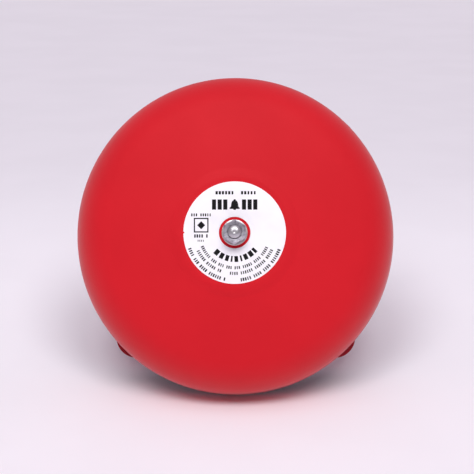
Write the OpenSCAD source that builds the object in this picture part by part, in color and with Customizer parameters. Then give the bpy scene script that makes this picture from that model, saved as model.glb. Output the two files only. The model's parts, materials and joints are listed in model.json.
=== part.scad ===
// Fire alarm bell: a six-inch gong over a motor-driven plunger striker.
// Millimetres. The origin is the centre of the mounting plate's back face,
// +Z is up and the gong faces -Y. Every sub-part is drawn lying on the wall
// (x right, y up, z away from the wall) and stood up by from_wall().

/* [Gong] */
// Outside diameter of the gong at its rim
gong_d = 150; // [149:0.5:151]
// Height of the gong from its rim to the top of its dome
gong_h = 37; // [36.5:0.5:38]
// Thickness of the gong's steel
gong_wall = 2; // [1.8:0.1:2]
// Outer radius of the bend between dome and skirt
shoulder_r = 19; // [18:0.5:20]
// Height of the skirt below the centre of that bend
skirt_h = 11.5; // [11:0.5:12]
// Lean of the skirt from the bell's axis, in degrees
skirt_lean = 4; // [3:0.5:4]
// Radius of the flat label seat in the middle of the gong
seat_r = 25.5; // [25:0.5:27]
// Height of the label seat above the foot of its slope
seat_rise = 0.9; // [0.6:0.1:1.2]
// Distance from the wall to the gong's rim
rim_depth = 21; // [20.5:0.5:22]
// Outside diameter of the round label
label_d = 48.6; // [46:0.2:49]
// Diameter of the hole in the label
label_hole_d = 14.5; // [13.5:0.5:16]

/* [Mounting plate] */
// Side of the square mounting plate
plate_w = 115; // [113:1:118]
// Radius of the plate's corners
plate_corner_r = 10; // [8:0.5:12]
// Thickness of the plate
plate_t = 2.5; // [2:0.5:3]
// Distance between the corner bolt holes, across and up
bolt_spacing = 95; // [93:1:97]
// Diameter of the corner bolt holes
bolt_hole_d = 5.5; // [5:0.5:6.5]
// Diameter of the cable bore in the grommet
cable_d = 10; // [9:0.5:11]

/* [Mechanism housing] */
// Half width of the housing
house_half_w = 49; // [48:0.5:50]
// Radius that trims the housing's corners
house_r = 58; // [57:0.5:59]
// Distance from the bell's axis down to the housing's lower side
house_low = 52; // [51.5:0.5:52.5]
// Distance from the bell's axis up to the housing's upper side
house_up = 42; // [41:0.5:43]
// Wall thickness of the housing and its cover
house_wall = 2; // [1.8:0.1:2.2]
// Distance from the wall to the front of the cover
cover_depth = 44; // [43.5:0.5:45]

/* [Striker drive] */
// Travel of the striker from its stop to the gong
stroke = 3.2; // [2.6:0.1:3.2]
// Gap left between the striker and the gong at full travel
strike_gap = 0.3; // [0.3:0.1:0.6]
// Diameter of the striker rod
rod_d = 5; // [4.6:0.1:5.4]
// Distance from the wall to the axes of the striker and the motor
drive_depth = 28; // [27.5:0.5:28.5]
// Distance from the bell's axis down to the motor's shaft
drive_drop = 17; // [16.8:0.1:17.2]
// Throw of the crank pin
crank_throw = 4; // [3.6:0.1:4]
// Outside diameter of the roller on the crank pin
roller_d = 7; // [6.4:0.2:7]
// Diameter of the motor can
motor_d = 24; // [23.6:0.2:24.4]
// Length of the motor can
motor_l = 28; // [27.5:0.5:29]

/* [Hidden] */
$fn = 64;
fit_gap = 0.05;             // radial gap of a running fit
seat_gap = 0.1;             // radial gap round a screw or a pressed piece
free_gap = 0.3;             // gap between pieces that pass each other

// Gong section: rim, skirt, shoulder bend, dome, and the seat for the label
rim_r = gong_d / 2;
bend_z = rim_depth + skirt_h;
bend_x = rim_r - shoulder_r * cos(skirt_lean)
    - (skirt_h + shoulder_r * sin(skirt_lean)) * tan(skirt_lean);
apex_z = rim_depth + gong_h;
dome_drop = apex_z - bend_z;
dome_r = (bend_x * bend_x + dome_drop * dome_drop - shoulder_r * shoulder_r)
    / (2 * (dome_drop - shoulder_r));
dome_z = apex_z - dome_r;
dome_half_angle = asin(bend_x / (dome_r - shoulder_r));
seat_foot_r = seat_r + 2.5;
seat_foot_angle = asin(seat_foot_r / dome_r);
seat_z = dome_z + dome_r * cos(seat_foot_angle) + seat_rise;
gong_hole_r = 4;
label_t = 0.2;
skirt_inner_r = rim_r - gong_wall / cos(skirt_lean)
    - (drive_depth - rim_depth) * tan(skirt_lean);

// Gong post and its fastenings
post_r = 5;
post_flange_r = 13;
post_flange_t = 3;
post_tenon_r = 4;
cushion_t = 1;
stud_r = 3;
washer_r = 6;
washer_t = 1;
lock_washer_t = 1.6;
nut_flats = 10;
nut_h = 5;
stud_end = 1.6;
post_seat_z = seat_z - gong_wall - cushion_t;
nut_z = seat_z + washer_t + lock_washer_t;
stud_z = nut_z + nut_h + stud_end;
pin_r = 1.5;
pin_offset = 10;

// Housing
floor_z = plate_t + house_wall;
gasket_t = 0.8;
cover_z = cover_depth - house_wall;
gasket_z = cover_z - gasket_t;
sleeve_in_r = 5.6;
sleeve_out_r = 7;
boss_r = 4;
cover_screw_r = 1.5;
foot_screw_r = 1.5;
cover_screw_spots = [[-43.5, 30], [43.5, 30], [-36.5, -38], [36.5, -38]];
base_screw_spots = [[-42.5, 12], [42.5, 12], [-26, -44], [26, -44]];
base_screw_r = 2;
grommet_spot = [-24, 24];
grommet_hole_r = 8;

// Striker, from its tail at the crank down to its head at the gong
sweep_r = crank_throw + roller_d / 2;
tail_y = -drive_drop - sweep_r - free_gap;
tail_h = 3.5;
tail_r = 4.5;
rod_r = rod_d / 2;
rod_top_y = tail_y - 1.5;
upper_flange_y = tail_y - tail_h - stroke - 0.5;
bracket_t = 1.5;
bracket_y = upper_flange_y - 1;
bush_r = 4.5;
bush_flange_r = 6;
upper_bush_end_y = bracket_y - bracket_t - 2.5;
ring_y = upper_bush_end_y - free_gap;
ring_t = 0.6;
spring_seat_t = 0.8;
spring_top_y = ring_y - ring_t - spring_seat_t;
lower_flange_t = 2;
spring_end_y = -house_low + house_wall + lower_flange_t;
lower_bush_end_y = -house_low - 4;
head_tip_y = -(skirt_inner_r - strike_gap - stroke);
head_h = 9;
head_r = 4.5;
head_dome_r = 11;
rod_end_y = head_tip_y + 3;
wire_r = 0.4;
spring_coil_r = 3.7;
spring_turns = 5;

// Motor, its bracket and the crank, placed along the motor's shaft
motor_x = -13;
motor_r = motor_d / 2;
can_wall = 0.8;
can_front_t = 1;
cap_t = 2.5;
motor_end_x = motor_x - motor_l;
shaft_r = 1;
motor_bush_r = 2.5;
motor_bracket_front_x = motor_x + bracket_t;
motor_screw_offset = 9;
magnet_in_r = 9.4;
core_r = 9;
core_x = motor_x - 18;
core_l = 13;
pole_count = 3;
pole_neck_w = 3;
pole_shoe_t = 1.5;
hub_r = 2.6;
winding_over = 1.2;
commutator_x = motor_end_x + 4;
commutator_l = 3.6;
commutator_r = 2.4;
commutator_hub_r = 1.6;
disc_x = -10;
disc_l = 5.5;
disc_r = 6;
crank_pin_r = 1.25;
roller_half_l = 3;

// Circuit board and terminal block
board_x = 12;
board_y = -32;
board_w = 30;
board_h = 38;
board_t = 1.6;
board_z = 12;
board_top_z = board_z + board_t;
board_hole_inset = 4;
board_screw_r = 1.2;
component_pin_r = 0.4;
capacitor_spot = [board_x + 7.5, board_y + 12.5];
capacitor_pins = 15;
diode_spot = [board_x + 3, board_y + 24];
diode_pins = 12;
varistor_spot = [board_x + 19.5, board_y + 23];
varistor_pins = 5;
block_x = 2;
block_y = 14;
block_w = 36;
block_h = 14;
block_t = 13;
block_ways = 4;
block_screw_r = 1;
block_hole_inset = 1.6;
way_pitch = block_w / (block_ways + 0.5);

// Internal leads: insulated wire, eight sides
lead_r = 0.7;
lead_sides = 8;
terminal_y = 5;
motor_lead_routes = [
    [[-42.8, -12, 26.7], [-42.8, -12, 20], [-43, -11.4, 14], [-42.6, -7, 10], [-40, 0, 9],
     [-35, 6, 9], [-26, 9.8, 9], [-14, 10.2, 9], [-4, 10, 9], [4, 9.6, 10.6], [10, 8.4, 14],
     [14.5, 6.2, 17], [17.5, 3.6, 17.6], [19, 0.6, 16.8], [19.2, 0, 15.2], [19.2, 0, 13.7]],
    [[-42.8, -22, 26.7], [-42.8, -22, 20], [-43.2, -21, 13], [-43.6, -15, 9], [-43.4, -6, 7.4],
     [-41.5, 2, 7.2], [-36, 8, 7.2], [-26, 11.6, 7.2], [-14, 12, 7.2], [-4, 11.8, 7.2],
     [6, 11.6, 8.4], [13, 11, 12], [18.5, 9, 16], [22, 5.4, 17.4], [23.6, 1, 16.8],
     [24, 0, 15.2], [24, 0, 13.7]]
];
supply_lead_routes = [
    [[30, 0, 13.7], [30, 0, 15.2], [29.8, 1, 16.8], [28.6, 4, 17.6], [27, 7.4, 16], [25.2, 10.6, 12.4],
     [24.2, 13.4, 9.8], [24, 16, 9.2], [24, 19, 9.2]],
    [[34, 0, 13.7], [34, 0, 15.2], [33.9, 1, 16.8], [33.6, 4, 17.6], [33, 7.4, 16], [32.4, 10.6, 12.4],
     [32, 13.4, 9.8], [32, 16, 9.2], [32, 19, 9.2]]
];

// Stands the wall drawing up: its z, away from the wall, becomes -Y
module from_wall() {
    rotate([90, 0, 0])
        children();
}

// Turns a piece drawn along +z so that it runs along +x on the motor's axis
module on_motor_axis(x) {
    translate([x, -drive_drop, drive_depth])
        rotate([0, 90, 0])
            children();
}

// Turns a piece drawn along +z so that it runs down the striker's axis
module on_striker_axis(y) {
    translate([0, y, drive_depth])
        rotate([90, 0, 0])
            children();
}

module at_each(spots, z = 0) {
    for (spot = spots)
        translate([spot[0], spot[1], z])
            children();
}

module tube(outer_r, inner_r, h) {
    difference() {
        cylinder(r = outer_r, h = h);
        translate([0, 0, -1])
            cylinder(r = inner_r, h = h + 2);
    }
}

// Pan-head screw with a crossed recess: its head stands on z = 0, shank below
module pan_screw(shank_r, shank_l) {
    head_r = shank_r * 1.9;
    head_h = shank_r * 1.2;
    slot_w = shank_r * 0.45;
    slot_l = head_r * 1.25;
    difference() {
        union() {
            translate([0, 0, -shank_l])
                cylinder(r = shank_r, h = shank_l + 0.1);
            cylinder(r = head_r, h = head_h * 0.6);
            translate([0, 0, head_h * 0.6])
                cylinder(r1 = head_r, r2 = head_r * 0.72, h = head_h * 0.4);
        }
        for (turn = [0, 90])
            rotate([0, 0, turn])
                translate([-slot_l / 2, -slot_w / 2, head_h * 0.45])
                    cube([slot_l, slot_w, head_h]);
    }
}

// Round-wire tube swept along a route: one ring of corners at each point
module swept_lead(route) {
    last = len(route) - 1;
    tangents = [for (i = [0 : last])
        unit(route[min(i + 1, last)] - route[max(i - 1, 0)])];
    sides = [for (t = tangents) unit(cross(t, abs(t[2]) > 0.9 ? [1, 0, 0] : [0, 0, 1]))];
    corners = [for (i = [0 : last], k = [0 : lead_sides - 1])
        route[i] + lead_r * (cos(360 * k / lead_sides) * sides[i]
            + sin(360 * k / lead_sides) * cross(sides[i], tangents[i]))];
    walls = [for (i = [0 : last - 1], k = [0 : lead_sides - 1])
        let (next = (k + 1) % lead_sides)
            [i * lead_sides + k, i * lead_sides + next,
             (i + 1) * lead_sides + next, (i + 1) * lead_sides + k]];
    start_cap = [[for (k = [lead_sides - 1 : -1 : 0]) k]];
    end_cap = [[for (k = [0 : lead_sides - 1]) last * lead_sides + k]];
    polyhedron(points = corners, faces = concat(walls, start_cap, end_cap), convexity = 6);
}

function unit(v) = v / norm(v);

function smooth(route, steps = 3) =
    let (last = len(route) - 1)
    concat(
        [for (i = [0 : last - 1], s = [0 : steps - 1])
            spline(route[max(i - 1, 0)], route[i], route[i + 1], route[min(i + 2, last)], s / steps)],
        [route[last]]);

function spline(a, b, c, d, t) =
    0.5 * (2 * b + (c - a) * t + (2 * a - 5 * b + 4 * c - d) * t * t
        + (3 * b - 3 * c + d - a) * t * t * t);

// ---- Mounting plate and what is fixed to it ----

module rounded_square(side, corner_r) {
    arm = side / 2 - corner_r;
    union() {
        square([side, 2 * arm], center = true);
        square([2 * arm, side], center = true);
        for (x = [-arm, arm], y = [-arm, arm])
            translate([x, y])
                circle(r = corner_r);
    }
}

module mounting_plate() {
    half = bolt_spacing / 2;
    color("darkred")
        from_wall()
            difference() {
                linear_extrude(height = plate_t)
                    rounded_square(plate_w, plate_corner_r);
                at_each([[-half, -half], [half, -half], [-half, half], [half, half]], -1)
                    cylinder(d = bolt_hole_d, h = plate_t + 2);
                at_each(base_screw_spots, -1)
                    cylinder(r = base_screw_r + seat_gap, h = plate_t + 2);
                translate([0, 0, -1])
                    cylinder(r = post_tenon_r + fit_gap, h = plate_t + 2);
                at_each([grommet_spot], -1)
                    cylinder(r = grommet_hole_r, h = plate_t + 2);
            }
}

module cable_grommet() {
    lip_r = grommet_hole_r + 1.5;
    lip_t = 1.2;
    color("dimgray")
        from_wall()
            at_each([grommet_spot])
                difference() {
                    union() {
                        cylinder(r = grommet_hole_r - seat_gap, h = floor_z + lip_t);
                        translate([0, 0, floor_z])
                            cylinder(r = lip_r, h = lip_t);
                    }
                    translate([0, 0, -1])
                        cylinder(d = cable_d, h = floor_z + lip_t + 2);
                }
}

module gong_post() {
    dimple_r = 1.3;
    dimple_h = 0.9;
    chamfer = 0.6;
    color("silver")
        from_wall()
            difference() {
                union() {
                    cylinder(r = post_tenon_r, h = plate_t + 0.1);
                    translate([0, 0, plate_t])
                        cylinder(r = post_r, h = post_seat_z - plate_t);
                    translate([0, 0, post_seat_z - post_flange_t])
                        cylinder(r = post_flange_r, h = post_flange_t);
                    translate([0, 0, post_seat_z - 0.1])
                        cylinder(r = stud_r, h = stud_z - chamfer - post_seat_z + 0.1);
                    translate([0, 0, stud_z - chamfer])
                        cylinder(r1 = stud_r, r2 = stud_r - chamfer, h = chamfer);
                }
                translate([0, 0, stud_z - dimple_h])
                    cylinder(r1 = 0.1, r2 = dimple_r, h = dimple_h + 0.001);
                translate([pin_offset, 0, post_seat_z - post_flange_t - 1])
                    cylinder(r = pin_r + fit_gap, h = post_flange_t + 2);
            }
}

// ---- Mechanism housing ----

module house_outline(inset = 0) {
    intersection() {
        circle(r = house_r - inset);
        translate([inset - house_half_w, inset - house_low])
            square([2 * (house_half_w - inset), house_low + house_up - 2 * inset]);
    }
}

module housing_base() {
    color("#2b2b2d")
        from_wall()
            difference() {
                union() {
                    difference() {
                        translate([0, 0, plate_t])
                            linear_extrude(height = gasket_z - plate_t)
                                house_outline();
                        translate([0, 0, floor_z])
                            linear_extrude(height = gasket_z)
                                house_outline(house_wall);
                    }
                    at_each(cover_screw_spots, floor_z - 0.1)
                        cylinder(r = boss_r, h = gasket_z - floor_z + 0.1);
                    translate([0, 0, plate_t])
                        cylinder(r = sleeve_out_r, h = gasket_z - plate_t);
                }
                translate([0, 0, plate_t - 1])
                    cylinder(r = sleeve_in_r, h = gasket_z);
                at_each(cover_screw_spots, gasket_z - 14)
                    cylinder(r = cover_screw_r + seat_gap, h = 15);
                at_each(base_screw_spots, plate_t - 1)
                    cylinder(r = base_screw_r + seat_gap, h = house_wall + 2);
                at_each([grommet_spot], plate_t - 1)
                    cylinder(r = grommet_hole_r, h = house_wall + 2);
                at_each(concat(motor_foot_spots(), striker_foot_spots()), plate_t - 1)
                    cylinder(r = foot_screw_r + seat_gap, h = house_wall + 2);
                at_each(board_hole_spots(), plate_t - 1)
                    cylinder(r = board_screw_r + seat_gap, h = house_wall + 2);
                at_each(block_hole_spots(), plate_t - 1)
                    cylinder(r = block_screw_r + seat_gap, h = house_wall + 2);
                on_striker_axis(-house_low + house_wall + 1)
                    cylinder(r = bush_r + fit_gap, h = house_wall + 2);
            }
}

module base_screws() {
    color("silver")
        from_wall()
            at_each(base_screw_spots, floor_z)
                pan_screw(base_screw_r, floor_z - 0.2);
}

module housing_cover() {
    color("#2b2b2d")
        from_wall()
            difference() {
                translate([0, 0, cover_z])
                    linear_extrude(height = house_wall)
                        house_outline();
                translate([0, 0, cover_z - 1])
                    cylinder(r = sleeve_in_r, h = house_wall + 2);
                at_each(cover_screw_spots, cover_z - 1)
                    cylinder(r = cover_screw_r + seat_gap, h = house_wall + 2);
            }
}

module cover_gasket() {
    color("dimgray")
        from_wall()
            translate([0, 0, gasket_z])
                linear_extrude(height = gasket_t)
                    difference() {
                        union() {
                            difference() {
                                house_outline();
                                house_outline(house_wall + 1);
                            }
                            for (spot = cover_screw_spots)
                                translate(spot)
                                    circle(r = boss_r);
                        }
                        for (spot = cover_screw_spots)
                            translate(spot)
                                circle(r = cover_screw_r + seat_gap);
                    }
}

module cover_screws() {
    color("silver")
        from_wall()
            at_each(cover_screw_spots, cover_depth)
                pan_screw(cover_screw_r, 14);
}

// ---- Gong ----

function arc(centre, radius, from_angle, to_angle, steps) =
    [for (i = [0 : steps])
        let (angle = from_angle + (to_angle - from_angle) * i / steps)
            centre + radius * [cos(angle), sin(angle)]];

// One side of the gong's wall, inset from the outside, from the rim to the label seat
function gong_side(inset) =
    let (bend = [bend_x, bend_z],
         skirt_top = bend + (shoulder_r - inset) * [cos(skirt_lean), sin(skirt_lean)])
    concat(
        [[skirt_top[0] + (skirt_top[1] - rim_depth) * tan(skirt_lean), rim_depth]],
        arc(bend, shoulder_r - inset, skirt_lean, 90 - dome_half_angle, 16),
        arc([0, dome_z], dome_r - inset, 91 - dome_half_angle, 90 - seat_foot_angle, 8),
        [[seat_r, seat_z - inset], [gong_hole_r, seat_z - inset]]);

function reversed(list) = [for (i = [len(list) - 1 : -1 : 0]) list[i]];

module gong() {
    color("#d9282f")
        from_wall()
            difference() {
                rotate_extrude($fn = 180)
                    polygon(concat(gong_side(0), reversed(gong_side(gong_wall))));
                translate([pin_offset, 0, seat_z - gong_wall - 1])
                    cylinder(r = pin_r + seat_gap, h = gong_wall + 2);
            }
}

module gong_label() {
    notch_r = 0.7;
    color("white")
        from_wall()
            difference() {
                translate([0, 0, seat_z])
                    tube(label_d / 2, label_hole_d / 2, label_t);
                translate([-label_d / 2, 0, seat_z - 1])
                    cylinder(r = notch_r, h = 3);
            }
}

module cushion_washer() {
    color("saddlebrown")
        from_wall()
            difference() {
                translate([0, 0, post_seat_z])
                    tube(post_flange_r, stud_r + seat_gap, cushion_t);
                translate([pin_offset, 0, post_seat_z - 1])
                    cylinder(r = pin_r + seat_gap, h = cushion_t + 2);
            }
}

module locating_pin() {
    color("silver")
        from_wall()
            translate([pin_offset, 0, post_seat_z - post_flange_t])
                tube(pin_r, pin_r * 0.55, post_flange_t + cushion_t + gong_wall - 0.3);
}

module gong_washer() {
    color("silver")
        from_wall()
            translate([0, 0, seat_z])
                tube(washer_r, stud_r + seat_gap, washer_t);
}

module gong_lock_washer() {
    split_w = 0.7;
    color("gainsboro")
        from_wall()
            difference() {
                translate([0, 0, seat_z + washer_t])
                    tube(washer_r - 1, stud_r + seat_gap, lock_washer_t);
                translate([-split_w / 2, 0, seat_z])
                    cube([split_w, washer_r, lock_washer_t + 3]);
            }
}

module gong_nut() {
    corner_r = nut_flats / 2 / cos(30);
    chamfer = 0.7;
    color("silver")
        from_wall()
            translate([0, 0, nut_z])
                difference() {
                    intersection() {
                        rotate([0, 0, 30])
                            cylinder(r = corner_r, h = nut_h, $fn = 6);
                        union() {
                            cylinder(r = corner_r + 1, h = nut_h - chamfer);
                            translate([0, 0, nut_h - chamfer])
                                cylinder(r1 = corner_r + 0.1, r2 = nut_flats / 2 - 0.2, h = chamfer);
                        }
                    }
                    translate([0, 0, -1])
                        cylinder(r = stud_r + fit_gap, h = nut_h + 2);
                }
}

// ---- Motor ----

module motor_can() {
    color("lightgray")
        from_wall()
            on_motor_axis(motor_end_x)
                difference() {
                    cylinder(r = motor_r, h = motor_l);
                    translate([0, 0, -1])
                        cylinder(r = motor_r - can_wall, h = motor_l - can_front_t + 1);
                    cylinder(r = motor_bush_r + fit_gap, h = motor_l + 1);
                    for (side = [-1, 1])
                        translate([0, side * motor_screw_offset, 0])
                            cylinder(r = crank_pin_r + seat_gap, h = motor_l + 1);
                }
}

module motor_end_cap() {
    slot_w = 0.8;
    slot_l = 3;
    color("ivory")
        from_wall()
            on_motor_axis(motor_end_x)
                difference() {
                    cylinder(r = motor_r - can_wall - fit_gap, h = cap_t);
                    translate([0, 0, -1])
                        cylinder(r = motor_bush_r + fit_gap, h = cap_t + 2);
                    for (side = [-1, 1])
                        translate([-slot_l / 2, side * terminal_y - slot_w / 2, -1])
                            cube([slot_l, slot_w, cap_t + 2]);
                }
}

module motor_bushings() {
    color("peru")
        from_wall() {
            on_motor_axis(motor_end_x)
                tube(motor_bush_r, shaft_r + fit_gap, cap_t);
            on_motor_axis(motor_x - 2)
                tube(motor_bush_r, shaft_r + fit_gap, 3);
        }
}

module motor_magnets() {
    magnet_l = 17;
    reach = motor_d;
    half_span = 65;
    outer_r = motor_r - can_wall - fit_gap;
    color("#3a3a3e")
        from_wall()
            on_motor_axis(core_x - 2)
                linear_extrude(height = magnet_l)
                    for (middle = [0, 180])
                        intersection() {
                            difference() {
                                circle(r = outer_r);
                                circle(r = magnet_in_r);
                            }
                            polygon([
                                [0, 0],
                                reach * [cos(middle - half_span), sin(middle - half_span)],
                                reach * [cos(middle), sin(middle)],
                                reach * [cos(middle + half_span), sin(middle + half_span)]
                            ]);
                        }
}

module motor_terminals() {
    tab_w = 2.6;
    tab_t = 0.5;
    tab_out = 3;
    color("goldenrod")
        from_wall()
            on_motor_axis(motor_end_x - tab_out)
                for (side = [-1, 1])
                    translate([-tab_w / 2, side * terminal_y - tab_t / 2, 0])
                        cube([tab_w, tab_t, tab_out + cap_t + 0.5]);
}

module brush_leaves() {
    leaf_w = 2.4;
    leaf_t = 0.3;
    leaf_y = 4.75;
    color("goldenrod")
        from_wall()
            on_motor_axis(motor_end_x + cap_t + 0.6)
                for (side = [-1, 1])
                    translate([-leaf_w / 2, side * leaf_y - leaf_t / 2, 0])
                        cube([leaf_w, leaf_t, commutator_l + 1.4]);
}

module brush_blocks() {
    block_w = 2;
    near = commutator_r + seat_gap;
    far = 4.6;
    color("#303030")
        from_wall()
            on_motor_axis(commutator_x + 0.4)
                for (side = [0, 180])
                    rotate([0, 0, side])
                        translate([-block_w / 2, near, 0])
                            cube([block_w, far - near, commutator_l - 0.8]);
}

module motor_bracket() {
    bracket_w = motor_d;
    foot_l = 13;
    front_h = drive_depth + motor_r - floor_z;
    color("gainsboro")
        from_wall()
            difference() {
                translate([0, -drive_drop - bracket_w / 2, floor_z])
                    union() {
                        translate([motor_x, 0, 0])
                            cube([bracket_t, bracket_w, front_h]);
                        translate([motor_x - foot_l, 0, 0])
                            cube([foot_l + bracket_t, bracket_w, bracket_t]);
                    }
                on_motor_axis(motor_x - 1)
                    cylinder(r = motor_bush_r + 0.5, h = bracket_t + 2);
                for (side = [-1, 1])
                    on_motor_axis(motor_x - 1)
                        translate([0, side * motor_screw_offset, 0])
                            cylinder(r = crank_pin_r + seat_gap, h = bracket_t + 2);
                at_each(motor_foot_spots(), plate_t)
                    cylinder(r = foot_screw_r + seat_gap, h = house_wall + bracket_t + 1);
            }
}

function motor_foot_spots() = [for (side = [-1, 1]) [motor_x - 7, side * 7 - drive_drop]];

function striker_foot_spots() = [for (side = [-1, 1]) [side * 6, bracket_y - 8]];

module bracket_screws() {
    color("silver")
        from_wall()
            at_each(concat(motor_foot_spots(), striker_foot_spots()), floor_z + bracket_t)
                pan_screw(foot_screw_r, bracket_t + house_wall - 0.2);
}

module motor_screws() {
    color("silver")
        from_wall()
            for (side = [-1, 1])
                on_motor_axis(motor_bracket_front_x)
                    translate([0, side * motor_screw_offset, 0])
                        pan_screw(crank_pin_r, 3);
}

// ---- Rotor: everything that turns with the motor's shaft ----

module motor_shaft() {
    color("silver")
        from_wall()
            on_motor_axis(motor_end_x + 0.3)
                cylinder(r = shaft_r, h = disc_x + disc_l - motor_end_x - 0.3);
}

module armature_core() {
    shoe_half_span = 48;
    reach = 2 * core_r;
    color("slategray")
        from_wall()
            on_motor_axis(core_x)
                difference() {
                    linear_extrude(height = core_l)
                        union() {
                            circle(r = hub_r);
                            for (pole = [0 : pole_count - 1])
                                rotate([0, 0, pole * 360 / pole_count]) {
                                    translate([0, -pole_neck_w / 2])
                                        square([core_r - pole_shoe_t / 2, pole_neck_w]);
                                    intersection() {
                                        difference() {
                                            circle(r = core_r);
                                            circle(r = core_r - pole_shoe_t);
                                        }
                                        polygon([
                                            [0, 0],
                                            reach * [cos(shoe_half_span), -sin(shoe_half_span)],
                                            reach * [cos(shoe_half_span), sin(shoe_half_span)]
                                        ]);
                                    }
                                }
                        }
                    translate([0, 0, -1])
                        cylinder(r = shaft_r, h = core_l + 2);
                }
}

module armature_windings() {
    coil_in = 3.8;
    coil_out = core_r - pole_shoe_t - 0.2;
    coil_half_w = 3.4;
    neck_gap = 0.1;
    color("chocolate")
        from_wall()
            on_motor_axis(core_x - winding_over)
                for (pole = [0 : pole_count - 1])
                    rotate([0, 0, pole * 360 / pole_count])
                        difference() {
                            intersection() {
                                translate([coil_in, -coil_half_w, 0])
                                    cube([coil_out, 2 * coil_half_w, core_l + 2 * winding_over]);
                                cylinder(r = coil_out, h = core_l + 2 * winding_over);
                            }
                            translate([coil_in - 1, -pole_neck_w / 2 - neck_gap, winding_over - neck_gap])
                                cube([coil_out, pole_neck_w + 2 * neck_gap, core_l + 2 * neck_gap]);
                            for (side = [-1, 1])
                                rotate([0, 0, side * 60])
                                    translate([0, -1.2, -1])
                                        cube([core_r, 2.4, core_l + 2 * winding_over + 2]);
                        }
}

module commutator_hub() {
    color("saddlebrown")
        from_wall()
            on_motor_axis(commutator_x)
                tube(commutator_hub_r, shaft_r, core_x - commutator_x - 0.2);
}

module commutator() {
    slot_w = 0.4;
    color("chocolate")
        from_wall()
            on_motor_axis(commutator_x)
                difference() {
                    tube(commutator_r, commutator_hub_r, commutator_l);
                    for (bar = [0 : pole_count - 1])
                        rotate([0, 0, 60 + bar * 360 / pole_count])
                            translate([0, -slot_w / 2, -1])
                                cube([commutator_r + 1, slot_w, commutator_l + 2]);
                }
}

module eccentric_disc() {
    color("darkgray")
        from_wall()
            on_motor_axis(disc_x)
                difference() {
                    cylinder(r = disc_r, h = disc_l);
                    translate([0, 0, -1])
                        cylinder(r = shaft_r, h = disc_l + 2);
                    translate([0, -crank_throw, -1])
                        cylinder(r = crank_pin_r, h = disc_l + 2);
                    translate([0, 0, disc_l / 2])
                        rotate([-90, 0, 0])
                            cylinder(r = crank_pin_r, h = disc_r + 1);
                }
}

module set_screw() {
    socket_r = 0.7;
    socket_h = 1.6;
    screw_l = disc_r - shaft_r - 0.6;
    color("dimgray")
        from_wall()
            on_motor_axis(disc_x)
                translate([0, shaft_r + 0.1, disc_l / 2])
                    rotate([-90, 0, 0])
                        difference() {
                            cylinder(r = crank_pin_r - fit_gap, h = screw_l);
                            translate([0, 0, screw_l - socket_h])
                                cylinder(r = socket_r, h = socket_h + 1, $fn = 6);
                        }
}

module crank_pin() {
    shoulder_r = 2;
    shoulder_end = -roller_half_l - free_gap;
    head_t = 1;
    color("silver")
        from_wall()
            translate([0, -crank_throw, 0]) {
                on_motor_axis(disc_x)
                    cylinder(r = crank_pin_r, h = roller_half_l + free_gap - disc_x + 0.1);
                on_motor_axis(disc_x + disc_l)
                    cylinder(r = shoulder_r, h = shoulder_end - disc_x - disc_l);
                on_motor_axis(roller_half_l + free_gap)
                    cylinder(r = shoulder_r, h = head_t);
            }
}

module crank_roller() {
    color("ivory")
        from_wall()
            translate([0, -crank_throw, 0])
                on_motor_axis(-roller_half_l)
                    tube(roller_d / 2, crank_pin_r + fit_gap, 2 * roller_half_l);
}

// ---- Striker: guides that stay still, then the pieces that slide ----

module striker_bracket() {
    half_w = 10;
    top_z = drive_depth + 9;
    foot_l = 12;
    color("gainsboro")
        from_wall()
            difference() {
                union() {
                    translate([-half_w, bracket_y - bracket_t, floor_z])
                        cube([2 * half_w, bracket_t, top_z - floor_z]);
                    translate([-half_w, bracket_y - foot_l, floor_z])
                        cube([2 * half_w, foot_l, bracket_t]);
                }
                on_striker_axis(bracket_y + 1)
                    cylinder(r = bush_r - 1 + fit_gap, h = bracket_t + 2);
                at_each(striker_foot_spots(), plate_t)
                    cylinder(r = foot_screw_r + seat_gap, h = house_wall + bracket_t + 1);
            }
}

// Flanged bush: its flange lies on z = 0 and its barrel runs along +z
module flanged_bush(barrel_r, barrel_l, flange_t) {
    difference() {
        union() {
            translate([0, 0, -flange_t])
                cylinder(r = bush_flange_r, h = flange_t);
            translate([0, 0, -0.1])
                cylinder(r = barrel_r, h = barrel_l + 0.1);
        }
        translate([0, 0, -flange_t - 1])
            cylinder(r = rod_r + fit_gap, h = barrel_l + flange_t + 2);
    }
}

module guide_bush_upper() {
    color("ivory")
        from_wall()
            on_striker_axis(bracket_y)
                flanged_bush(bush_r - 1, bracket_y - upper_bush_end_y, upper_flange_y - bracket_y);
}

module guide_bush_lower() {
    wall_y = -house_low + house_wall;
    color("ivory")
        from_wall()
            on_striker_axis(wall_y)
                flanged_bush(bush_r, wall_y - lower_bush_end_y, lower_flange_t);
}

module striker_rod() {
    groove_d = 0.4;
    color("silver")
        from_wall()
            difference() {
                on_striker_axis(rod_top_y)
                    cylinder(r = rod_r, h = rod_top_y - rod_end_y);
                on_striker_axis(ring_y)
                    tube(rod_r + 1, rod_r - groove_d, ring_t);
            }
}

module striker_tail() {
    color("ivory")
        from_wall()
            difference() {
                on_striker_axis(tail_y)
                    cylinder(r = tail_r, h = tail_h);
                on_striker_axis(rod_top_y)
                    cylinder(r = rod_r, h = tail_h);
            }
}

module striker_head() {
    color("goldenrod")
        from_wall()
            difference() {
                intersection() {
                    on_striker_axis(head_tip_y + head_h)
                        cylinder(r = head_r, h = head_h);
                    translate([0, head_tip_y + head_dome_r, drive_depth])
                        sphere(r = head_dome_r);
                }
                on_striker_axis(head_tip_y + head_h + 1)
                    cylinder(r = rod_r, h = head_tip_y + head_h + 1 - rod_end_y);
            }
}

module retaining_ring() {
    mouth_w = 3.2;
    color("dimgray")
        from_wall()
            on_striker_axis(ring_y)
                difference() {
                    tube(4.6, rod_r - 0.4, ring_t);
                    translate([-mouth_w / 2, 0, -1])
                        cube([mouth_w, 6, ring_t + 2]);
                }
}

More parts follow.
